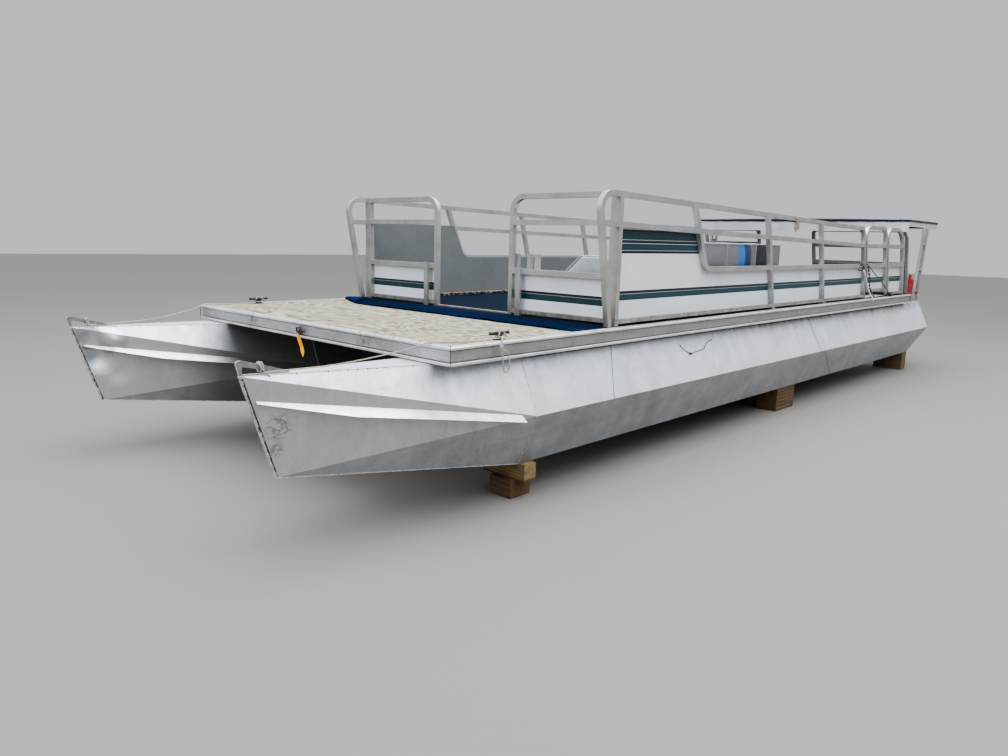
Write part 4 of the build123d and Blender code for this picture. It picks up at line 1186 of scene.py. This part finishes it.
# %% Nails in the plywood
nails = Parts()
for station in (0.20, 0.386, 0.56, 0.719, 0.88):
    for number in range(-5, 6):
        wander = 0.02 * noise.noise(Vector((station * 9, number * 1.7, 0)))
        nails.dome(at(station + wander, number * 0.205 + 0.5 * wander, -0.0030), UP, 0.0042, 0.0006, 8)
nails.dome(at(0.719, 0.889, -0.003), UP, 0.0055, 0.0008, 8)
nails.piece("plywood_nails", dark_seam_and_shadow)
print("rail top at the last post", round(rail_top(5.35), 3))

# %% [markdown]
# ## Lines at the stern corner
# A white line holds the side fence down beside the gate, and a black cord is wound on the fence and runs across
# the gateway to the stern cleat. A tan strap is looped over the top rail. All are pulled tight, so they are
# drawn straight between their turns. A pale sill plate shows under the gate.

# %% Stern lines, sill and strap
stern_route = route((5.196, 1.146, 0.272), (5.200, 1.160, 0.272), (5.206, 1.178, 0.274), (5.214, 1.188, 0.264),
                    (5.245, 1.190, 0.222), (5.310, 1.192, 0.138), (5.375, 1.205, 0.045), (5.408, 1.227, 0.012),
                    (5.415, 1.229, -0.018))
lay_rope("stern_white_rope", spline_points(stern_route), 0.012, stern_line)

cable_route = route((5.214, 1.183, 0.262), (5.206, 1.186, 0.300), (5.200, 1.176, 0.332), (5.197, 1.150, 0.335),
                    (5.194, 1.131, 0.318), (5.190, 1.133, 0.276), (5.186, 1.170, 0.262), (5.182, 1.186, 0.280),
                    (5.178, 1.180, 0.330), (5.160, 1.138, 0.330), (5.150, 1.150, 0.334), (5.130, 1.172, 0.335),
                    (5.118, 1.185, 0.322), (5.140, 1.187, 0.306), (5.200, 1.186, 0.322), (5.250, 1.178, 0.335),
                    (5.290, 1.181, 0.330), (5.320, 1.188, 0.308), (5.500, 1.190, 0.236), (5.800, 1.191, 0.118),
                    (5.985, 1.186, 0.046), (6.000, 1.180, 0.026), (6.018, 1.178, 0.014), (6.036, 1.190, 0.014),
                    (6.024, 1.203, 0.016), (6.000, 1.203, 0.024), (5.994, 1.192, 0.040))
strand_route = route((5.306, 1.188, 0.306), (5.345, 1.189, 0.240), (5.384, 1.189, 0.180), (5.385, 1.190, 0.120),
                     (5.430, 1.192, 0.075), (5.520, 1.196, 0.018))
strands = spline_points(strand_route, 0.005)
cable = Parts()
cable.tube(spline_points(cable_route, 0.004), 0.0046)
cable.tube(strands, [0.0060 + 0.0034 * math.sin(n * 0.9) for n in range(len(strands))])
cable.piece("stern_black_cord", black_cord)

sill = Parts()
# The tow plates' finish makes its top pale with the same painted highlight.
sill.block(at(5.680, 1.105, 0.0085), (0.560, 0.120, 0.003))
sill.piece("gate_sill", plate_metal, slot="frame_aluminium")

strap = Parts()
strap_top = rail_top(3.645)
STRAP = ((3.665, 1.1745, -0.095), (3.652, 1.1745, -0.040), (3.645, 1.1745, -0.004), (3.645, 1.170, 0.0025),
         (3.645, 1.142, 0.0025), (3.645, 1.1375, -0.004), (3.640, 1.1375, -0.034), (3.640, 1.146, -0.040),
         (3.643, 1.168, -0.044), (3.625, 1.177, -0.075), (3.600, 1.177, -0.104))
strap_path = [at(station, y, strap_top + rise) for station, y, rise in STRAP]
strap.ribbon(strap_path, [0.054] * len(STRAP), 0.0018, FORWARD)
strap.piece("rail_strap", rope_finish("tan_webbing", (0.19, 0.14, 0.075), (0.10, 0.07, 0.035)))

# %% [markdown]
# ## Deck carpet
# Ribbed outdoor carpet is a thin sheet glued down aft and lying loose at the bow. Its ribs run across the boat,
# it has lifted in low waves ahead of the fence, and its starboard corner is folded over.
# A fold is a mirror: every point past the fold line is reflected back over it and lifted off the sheet.
# A flat grid with those two rules and a little thickness is enough; the ribs and the pile are in the finish.

# %% Carpet finish
carpet_low, carpet_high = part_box("deck_carpet")
CARPET_LEVEL = carpet_high.z - DECK
RIBS_PER_METRE = 62.0
LOOSE_FROM, LOOSE_TO = BOW - 1.30, BOW - 1.18
print("the carpet's top lies", round(CARPET_LEVEL * 1000, 1), "mm above the moulding's top")


def carpet_finish():
    """Dark ribs aft, their troughs painted shade; blue at the bow, brighter where the carpet has lifted as a
    painted highlight.
    """
    made = Finish("ribbed_carpet", 0.95, Specular_IOR_Level=0.05)
    run = made.axis("X")
    wander = made.noise(9, (1, 0.3, 1), detail=3)
    rib = made.math("PINGPONG", made.math("MULTIPLY_ADD", run, RIBS_PER_METRE, made.times(wander, 0.8)), 0.5)
    pile = made.noise(520, detail=2)
    wear = made.noise(4.5, (1, 0.5, 1), detail=6, rough=0.6)
    # Painted shade: the ribs' troughs are much darker than their crests.
    made.colour(made.ramp(rib, (0.08, (0.0003, 0.0026, 0.012)), (0.38, (0.0005, 0.0100, 0.044))))
    # Painted highlight: the carpet is lighter where it rises off the sheet.
    lifted_highlight = made.fade(made.math("SUBTRACT", made.axis("Z"), DECK + CARPET_LEVEL), 0.002, 0.011)
    made.coat((0.001, 0.023, 0.095), lifted_highlight, 0.6)
    # Painted shade in the troughs here too.
    glued = made.ramp(rib, (0.08, (0.0028, 0.0062, 0.0125)), (0.38, (0.0105, 0.0220, 0.0380)))
    made.colour(made.mix(made.fade(run, LOOSE_FROM, LOOSE_TO), glued, made.base))
    made.coat((0.0006, 0.0030, 0.010), made.ramp(pile, (0.35, 0.50), (0.62, 0.0)))
    made.coat((0.004, 0.024, 0.052), made.ramp(wear, (0.52, 0.0), (0.76, 0.45)))
    dust = made.noise(24, (1, 0.6, 1), detail=6, rough=0.75)
    made.coat((0.07, 0.07, 0.06), made.ramp(dust, (0.60, 0.0), (0.78, 0.14)))
    made.coat((0.006, 0.007, 0.009), made.math("LESS_THAN", made.axis("Z", made.facing), -0.4))
    made.bump(pile, 0.002, 0.7)
    made.bump(rib, 0.004, 0.9)
    return made


# %% Sheets with thickness
def baked(made):
    """Turn a piece's modifiers into its mesh."""
    bpy.context.view_layer.update()
    mesh = bpy.data.meshes.new_from_object(made.evaluated_get(bpy.context.evaluated_depsgraph_get()))
    made.modifiers.clear()
    made.data = mesh
    return mesh


def thick_sheet(name, points, faces, thickness, finish, offset=-1.0):
    """A sheet with real thickness from a single layer of faces."""
    made = placed(name, points, faces, finish)
    solid = made.modifiers.new("thickness", "SOLIDIFY")
    solid.thickness = thickness
    solid.offset = offset
    final = baked(made)
    final.shade_smooth()
    final.set_sharp_from_angle(angle=math.radians(50))
    print(name, len(final.polygons), "faces")
    return made


def clamped(value, low=0.0):
    """The value held between the low limit and 1."""
    return max(low, min(1.0, value))


# %% Carpet sheet
CARPET_START = BOW - carpet_high.x
CARPET_END = BOW - carpet_low.x
CARPET_HALF = carpet_high.y
PILE = 0.005
FOLD = (Vector((CARPET_START, -0.80, 0)), Vector((1.10, -CARPET_HALF, 0)))
LOOSE_END = 1.19
LOOSE_SIDE = 1.10
RIDGE_STEP = 0.046
FINE_STEP, FINE_STEPS, COARSE_STEPS = 0.009, 40, 76
CROSS_STEPS = 108


def carpet_point(station, y):
    """Where a point of the flat carpet lies."""
    free = clamped((LOOSE_END - station) / 0.12) * clamped((LOOSE_SIDE - abs(y)) / 0.08)
    wave = noise.noise(Vector((station * 13, y * 1.1, 3)))
    wave += 0.5 * noise.noise(Vector((station * 31, y * 2.3, 7)))
    ragged = noise.noise(Vector((y * 5, 1, 0))) + 0.6 * noise.noise(Vector((y * 19, 2, 0)))
    edge = 0.009 * ragged * max(0.0, 1 - (station - CARPET_START) / 0.1)
    sway = 0.35 * noise.noise(Vector((y * 2.1, station * 3, 5)))
    ridge = max(0.0, math.sin(math.tau * (station / RIDGE_STEP + sway)))
    level = CARPET_LEVEL + free * (0.006 * max(0.0, wave) + 0.0050 * ridge)
    flat = Vector((station + edge, y, 0))
    line = (FOLD[1] - FOLD[0]).normalized()
    past = (flat - FOLD[0]).cross(line).z
    if past > 0:
        foot = FOLD[0] + line * (flat - FOLD[0]).dot(line)
        flat = foot + (foot - flat)
        level = CARPET_LEVEL + 0.0015 + 0.009 * min(1.0, past / 0.02) + 0.05 * past * past
    return at(flat.x, flat.y, level)


stations = [CARPET_START + FINE_STEP * n for n in range(FINE_STEPS + 1)]
rest = CARPET_END - stations[-1]
stations += [stations[-1] + rest * n / COARSE_STEPS for n in range(1, COARSE_STEPS + 1)]
rows = [-CARPET_HALF + 2 * CARPET_HALF * n / CROSS_STEPS for n in range(CROSS_STEPS + 1)]
grid = [carpet_point(station, y) for station in stations for y in rows]
count = len(rows)
squares = [(i * count + j, i * count + j + 1, (i + 1) * count + j + 1, (i + 1) * count + j)
           for i in range(len(stations) - 1) for j in range(count - 1)]
carpet = thick_sheet("carpet", grid, squares, PILE, carpet_finish())
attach(carpet, "hull")
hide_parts("deck_carpet")

# %% [markdown]
# ## Leaves
# Dry leaves and grit blew under the fence and stayed along the starboard sheet.
# Each leaf is a small folded diamond, turned and tipped at random from a fixed seed.

# %% Leaves
LEAF_FACES = [(0, 1, 2), (0, 2, 3), (1, 4, 2), (2, 4, 3), (0, 5, 1), (0, 3, 5), (1, 5, 4), (3, 4, 5)]
LEAF_TINTS = {"brown": (0.11, 0.034, 0.022), "grey": (0.030, 0.070, 0.072)}
chance = random.Random(11)
for tint, colour in LEAF_TINTS.items():
    leaves = Parts()
    for n in range(70):
        station = 1.75 + 1.75 * chance.random()
        y = -1.085 + 0.16 * chance.random() ** 2
        long, wide = 0.016 + 0.022 * chance.random(), 0.007 + 0.008 * chance.random()
        turn = chance.random() * math.tau
        along = Vector((math.cos(turn), math.sin(turn), 0.35 * chance.random())) * long
        across = Vector((-math.sin(turn), math.cos(turn), 0.2 * chance.random())) * wide
        middle = at(station, y, CARPET_LEVEL + 0.004 + 0.008 * chance.random())
        lift = Vector((0, 0, 0.35 * wide))
        leaves.add([middle - along, middle - across + lift, middle, middle + across + lift,
                    middle + along, middle - Vector((0, 0, 0.001))], LEAF_FACES)
    leaves.piece(tint + "_leaves", plastic_finish(tint + "_leaf", colour, 0.8, 0.0), crease=20)

# %% [markdown]
# ## Canopy cover
# Navy cloth is pulled over the low shade's frame, tucked over its edge and snapped down.
# Between the ribs it sinks a little, and over the rim it turns down in a hem. One grid of points does it:
# inside the rim the height is a crown less the sag, and outside it the same sheet hangs straight down.

# %% Canopy cloth
cover_low, cover_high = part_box("canopy_cover")
COVER_LENGTH = cover_high.x - cover_low.x
FRAME_TOP = cover_low.z
COVER_SKIRT = 0.018
COVER_CROWN = 0.022
CLOTH = 0.0016
HEM = 0.04
HEM_STEPS = 4
THREADS_PER_METRE = 700.0


def cloth_point(u, v):
    """A point of the cover from -1 to 1 along and across; past 1 it hangs down the rim."""
    in_x, in_y = clamped(u, -1.0), clamped(v, -1.0)
    drop = COVER_SKIRT * min(1.0, max(abs(u) - 1, abs(v) - 1, 0) / HEM)
    crown = COVER_CROWN * (1 - in_y * in_y) * (1 - in_x ** 8)
    sag = 0.007 * math.sin(1.5 * math.pi * (in_x + 1)) ** 2 * (1 - in_y ** 6)
    pucker = 0.0016 * math.sin(38 * v + 3 * math.sin(5 * u)) * (abs(in_x) ** 12)
    pucker += 0.0016 * math.sin(30 * u + 2 * math.sin(4 * v)) * (abs(in_y) ** 16)
    x = (cover_high.x + cover_low.x) / 2 + in_x * (COVER_LENGTH / 2 + 0.0022)
    y = in_y * (cover_high.y - 0.0015)
    if drop:
        x += math.copysign(0.0012, in_x) if abs(u) > 1 else 0
        return Vector((x, y, FRAME_TOP + 0.0022 - drop + pucker))
    return Vector((x, y, FRAME_TOP + 0.0034 + max(0.0, crown - sag) + pucker))


def marks(count):
    """Even steps from -1 to 1, with the hem's steps past both ends."""
    hem = [1 + HEM * n / HEM_STEPS for n in range(1, HEM_STEPS + 1)]
    return [-mark for mark in reversed(hem)] + [-1 + 2 * n / count for n in range(count + 1)] + hem


def canvas_finish(name, pale, deep):
    """Faded woven cloth, its threads in a bump."""
    made = Finish(name, 0.9, Sheen_Weight=0.12, Sheen_Roughness=0.5, Specular_IOR_Level=0.15)
    made.colour(made.ramp(made.noise(2.6, detail=6, rough=0.6), (0.35, deep), (0.70, pale)))
    made.coat(toned(pale, 2.5), made.ramp(made.noise(30, detail=6, rough=0.75), (0.55, 0.0), (0.78, 0.30)))
    threads = [made.math("PINGPONG", made.times(made.axis(letter), THREADS_PER_METRE), 0.5) for letter in "XY"]
    made.bump(made.times(*threads), 0.0006, 0.5)
    return made


along_marks = marks(48)
across_marks = marks(110)
cloth_grid = [cloth_point(u, v) for u in along_marks for v in across_marks]
width = len(across_marks)
cloth_faces = []
for i in range(len(along_marks) - 1):
    for j in range(width - 1):
        over_x = abs(along_marks[i] + along_marks[i + 1]) > 2
        over_y = abs(across_marks[j] + across_marks[j + 1]) > 2
        if not (over_x and over_y):
            cloth_faces.append((i * width + j, (i + 1) * width + j, (i + 1) * width + j + 1, i * width + j + 1))
navy_canvas = canvas_finish("navy_canvas", (0.006, 0.010, 0.030), (0.003, 0.005, 0.014))
cover = thick_sheet("canopy_cloth", cloth_grid, cloth_faces, CLOTH, navy_canvas, 1.0)
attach(cover, "hull")
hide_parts("canopy_cover")

# %% Canopy seams and snaps
SNAP_LEVEL = FRAME_TOP - 0.008
SIDE_SNAPS, AFT_SNAPS = 8, 16
seams, snaps = Parts(), Parts()
for mark in (-1 / 3, 1 / 3):
    path = [cloth_point(mark, v) + Vector((0, 0, 0.0022)) for v in across_marks if abs(v) <= 1]
    seams.ribbon(path, [0.022] * len(path), 0.0012, FORWARD)
cover_seams = seams.piece("canopy_cloth_seams", navy_canvas, slot="canopy_navy")
for side in SIDES:
    for number in range(SIDE_SNAPS + 1):
        x = cover_low.x + 0.04 + (COVER_LENGTH - 0.08) * number / SIDE_SNAPS
        snaps.dome(Vector((x, side * (cover_high.y + 0.001), SNAP_LEVEL)), Vector((0, side, 0)), 0.006, 0.003)
for number in range(AFT_SNAPS + 1):
    y = -1.16 + 2.32 * number / AFT_SNAPS
    snaps.dome(Vector((cover_high.x + 0.006, y, SNAP_LEVEL)), FORWARD, 0.006, 0.003)
cover_snaps = snaps.piece("canopy_snaps", dark_iron)

# %% [markdown]
# ## Lounge cushions
# The lounge is foam under vinyl. Where the cover is sewn, it is held; between seams the foam pushes it out.
# So each pad starts a little small, its seam lines are pinned, and cloth pressure blows the rest up.
# No point may move more than a set cap, which keeps the pad in the room that its CAD solid has.
# A piped edge, a bar along each sewn line, covers the join as it does on the real seat.

# %% Inflating a pad
VOXEL = 0.020
PRESSURE = 4.0
FRAMES = 20
STIFFNESS = 12


def solid_prism(points, faces, outline, axis_from, axis_to):
    """Add a prism along X with an outline in y and z."""
    base = len(points)
    for x in (axis_from, axis_to):
        points.extend((x, y, z) for y, z in outline)
    number = len(outline)
    faces.append(tuple(base + n for n in range(number)))
    faces.append(tuple(base + number + n for n in reversed(range(number))))
    for n in range(number):
        after = (n + 1) % number
        faces.append((base + n, base + number + n, base + number + after, base + after))


def blow(made, cap):
    """Let cloth pressure move the points, none of them further than the cap."""
    start = made.data
    rest = [vertex.co.copy() for vertex in start.vertices]
    cloth = made.modifiers.new("cloth", "CLOTH")
    cloth.collision_settings.use_collision = False
    settings = cloth.settings
    settings.quality = 5
    settings.mass = 0.3
    settings.tension_stiffness = STIFFNESS
    settings.compression_stiffness = STIFFNESS
    settings.bending_stiffness = 0.4
    settings.use_pressure = True
    settings.uniform_pressure_force = PRESSURE
    settings.vertex_group_mass = "held"
    settings.effector_weights.gravity = 0
    for tick in range(1, FRAMES + 1):
        scene.frame_set(tick)
    blown = bpy.data.meshes.new_from_object(made.evaluated_get(bpy.context.evaluated_depsgraph_get()))
    made.modifiers.clear()
    scene.frame_set(1)
    most = 0.0
    for vertex, moved, before in zip(start.vertices, blown.vertices, rest):
        step = moved.co - before
        most = max(most, step.length)
        if step.length > cap:
            step *= cap / step.length
        vertex.co = before + step
    print(made.name, len(rest), "points, furthest", round(most * 1000, 1), "mm, cap", cap * 1000, "mm")


def inflate(name, points, faces, held, cap, finish):
    """Blow a closed form up between its held lines, every point within the cap."""
    made = placed(name, points, faces)
    remesh = made.modifiers.new("remesh", "REMESH")
    remesh.mode = "VOXEL"
    remesh.voxel_size = VOXEL
    start = baked(made)
    pinned = made.vertex_groups.new(name="held")
    pinned.add([vertex.index for vertex in start.vertices if held(vertex.co)], 1.0, "ADD")
    blow(made, cap)
    smooth = made.modifiers.new("smooth", "SMOOTH")
    smooth.factor = 0.5
    smooth.iterations = 2
    finer = made.modifiers.new("finer", "SUBSURF")
    finer.levels = finer.render_levels = 1
    final = baked(made)
    final.materials.clear()
    final.materials.append(finish.material)
    final.shade_smooth()
    return made


# %% Vinyl finish
def vinyl_finish(name, pale, deep, bands=()):
    """Grained vinyl; each band is a run of stations with its own colour on the outboard side."""
    made = Finish(name, 0.42, Coat_Weight=0.08, Coat_Roughness=0.4)
    patches = made.noise(3.2, detail=6, rough=0.6)
    made.colour(made.ramp(patches, (0.35, deep), (0.66, pale)))
    crack = made.noise(9, detail=6, rough=0.65, warp=1.4)
    made.coat(toned(deep, 0.35), made.scratches(crack, 0.004, 4.0, (0.52, 0.0), (0.62, 0.6)))
    run = made.math("SUBTRACT", BOW, made.axis("X"))
    outer = made.math("GREATER_THAN", made.axis("Y", made.facing), 0.3)
    for start, end, colour in bands:
        faded = made.mix(made.ramp(patches, (0.4, 0.0), (0.8, 0.16)), colour, toned(pale, 0.8))
        made.coat(faded, made.inside(run, start, end), outer)
    made.coat((0.17, 0.155, 0.13), made.ramp(made.noise(26, detail=6, rough=0.72), (0.55, 0.0), (0.78, 0.35)))
    made.bump(made.cells(420), 0.0005, 0.5)
    made.bump(patches, 0.004, 0.3)
    return made


VINYL_PALE, VINYL_DEEP = (0.44, 0.46, 0.48), (0.36, 0.375, 0.39)
# The last band, near black, is a painted shadow on the backrest's outboard side.
BACK_BANDS_AND_SHADOW = ((2.30, 3.64, (0.185, 0.190, 0.200)), (2.90, 3.01, (0.040, 0.19, 0.50)),
              (3.01, 3.105, (0.005, 0.028, 0.12)), (3.19, 3.37, (0.016, 0.017, 0.020)))
seat_vinyl = vinyl_finish("seat_vinyl", VINYL_PALE, VINYL_DEEP)
back_vinyl = vinyl_finish("back_vinyl", VINYL_PALE, VINYL_DEEP, BACK_BANDS_AND_SHADOW)
dress(plastic_finish("lounge_base_plastic", (0.46, 0.46, 0.45), 0.5), "lounge_base")
print("vinyl for the seat, and for the back with", len(BACK_BANDS_AND_SHADOW), "bands")

# %% Seat
INSET = 0.006
BACK_FRONT, BACK_AFT = 2.300, 3.640
seat_low, seat_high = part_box("lounge_cushion")
SEAT_SEAMS = [seat_low.x + (seat_high.x - seat_low.x) * share for share in (1 / 3, 2 / 3)]


def near_any(value, places, reach):
    """True within reach of one of the places."""
    return any(abs(value - place) < reach for place in places)


def shrunk(low, high):
    """A box drawn in on all sides, as room for the pad to swell."""
    margin = Vector((INSET, INSET, INSET))
    return low + margin, high - margin


def box_outline(low, high):
    """A box's four corners in y and z."""
    return [(low.y, low.z), (high.y, low.z), (high.y, high.z), (low.y, high.z)]


def at_edge(point, low, high, reach):
    """True near an edge of a box, where two of its sides meet."""
    return sum(near_any(point[n], (low[n], high[n]), reach) for n in range(3)) > 1


def seat_held(point):
    """Held under the backrest, at the bottom, along the seams and at the edges."""
    under_back = point.z > pad_high.z - 0.02 and point.y > 0.955 and point.x < BOW - BACK_FRONT + 0.02
    at_seam = near_any(point.x, SEAT_SEAMS, 0.011) or point.z < pad_low.z + 0.008
    return under_back or at_seam or at_edge(point, pad_low, pad_high, 0.008)


pad_low, pad_high = shrunk(seat_low, seat_high)
pad_low.z = seat_low.z + 0.001
seat_points, seat_faces = [], []
solid_prism(seat_points, seat_faces, box_outline(pad_low, pad_high), pad_low.x, pad_high.x)
seat = inflate("lounge_seat_pad", seat_points, seat_faces, seat_held, 0.012, seat_vinyl)
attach(seat, "hull")
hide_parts("lounge_cushion")

# %% Back and end rest
back_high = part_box("lounge_back")[1]
BACK_SEAMS = [BOW - 2.747, BOW - 3.193]
HEAD_SIDES = (0.666, 1.074)
HEAD_PLATE = (BOW - 1.474, BOW - 1.426)
HEAD_PAD = (BOW - 1.534, BOW - 1.462)
HEAD_OUTLINE = [(0.666, 0.0), (1.074, 0.0), (1.074, 0.384), (0.806, 0.384), (0.666, 0.262)]
rest_low, rest_high = shrunk(Vector((BOW - BACK_AFT, 0.970, seat_high.z)),
                             Vector((BOW - BACK_FRONT, back_high.y, back_high.z)))


def back_held(point):
    """Held at the backrest's bottom, seams and edges, and along the end rest's rim."""
    if point.x > BOW - 1.6:
        at_rim = near_any(point.y, HEAD_SIDES, 0.012) or point.z > DECK + 0.375 or point.z < DECK + 0.02
        return at_rim and near_any(point.x, (*HEAD_PLATE, HEAD_PAD[0]), 0.009)
    at_seam = near_any(point.x, BACK_SEAMS, 0.011) or point.z < rest_low.z + 0.01
    return at_seam or at_edge(point, rest_low, rest_high, 0.009)


back_points, back_faces = [], []
solid_prism(back_points, back_faces, box_outline(rest_low, rest_high), rest_low.x, rest_high.x)
head_outline = [(y, DECK + 0.004 + level) for y, level in HEAD_OUTLINE]
solid_prism(back_points, back_faces, head_outline, *HEAD_PLATE)
solid_prism(back_points, back_faces, [(y, max(z, DECK + 0.158)) for y, z in head_outline], *HEAD_PAD)
back = inflate("lounge_back_pads", back_points, back_faces, back_held, 0.010, back_vinyl)
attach(back, "hull")
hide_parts("lounge_back")

# %% Piping
PIPE, SEAM_PIPE = 0.0042, 0.0036
PIPE_INSET = 0.0035
PIPE_STEP = 0.03
piping = Parts()


def plane_points(x, *places):
    """Points with one x, each from its y and z."""
    return [Vector((x, y, z)) for y, z in places]


def pipe_round(low, high, level):
    """A closed pipe round a pad's box at one level."""
    near, far = low.y + PIPE_INSET, high.y - PIPE_INSET
    aft, fore = low.x + PIPE_INSET, high.x - PIPE_INSET
    turns = ((aft, near), (fore, near), (fore, far), (aft, far), (aft, near))
    corners = [Vector((x, y, level)) for x, y in turns]
    piping.tube(evenly(corners, PIPE_STEP)[:-1], PIPE, closed=True)


pipe_round(pad_low, pad_high, pad_high.z - 0.004)
pipe_round(pad_low, pad_high, pad_low.z + 0.006)
pipe_round(rest_low, rest_high, rest_high.z - 0.004)
for x in SEAT_SEAMS:
    piping.tube(plane_points(x, (pad_low.y, pad_low.z + 0.01), (pad_low.y, pad_high.z - 0.004),
                             (pad_low.y + 0.01, pad_high.z - 0.001), (0.95, pad_high.z - 0.001)), SEAM_PIPE)
inner, outer = rest_low.y, rest_high.y
foot, shoulder, crest = rest_low.z + 0.01, rest_high.z - 0.006, rest_high.z - 0.001
for x in BACK_SEAMS:
    over = plane_points(x, (inner + 0.001, foot), (inner + 0.001, shoulder), (inner + 0.012, crest),
                        (outer - 0.012, crest), (outer - 0.001, shoulder), (outer - 0.001, foot))
    piping.tube(over, SEAM_PIPE)
for station, foot in ((1.429, 0.012), (1.531, 0.165)):
    rim = plane_points(BOW - station, (0.6675, DECK + foot), (0.6675, DECK + 0.266), (0.806, DECK + 0.386),
                       (1.0725, DECK + 0.386), (1.0725, DECK + foot))
    piping.tube(evenly(rim, PIPE_STEP), PIPE)
piping_finish = vinyl_finish("piping_vinyl", (0.50, 0.52, 0.54), (0.40, 0.42, 0.44))
piping.piece("lounge_piping", piping_finish, slot="lounge_vinyl")

# %% Sizes and finish
visual_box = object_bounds()
for cad_corner, visual_corner in zip(cad_box, visual_box):
    print("grows by", [round((b - a) * 1000, 1) for a, b in zip(cad_corner, visual_corner)], "mm")
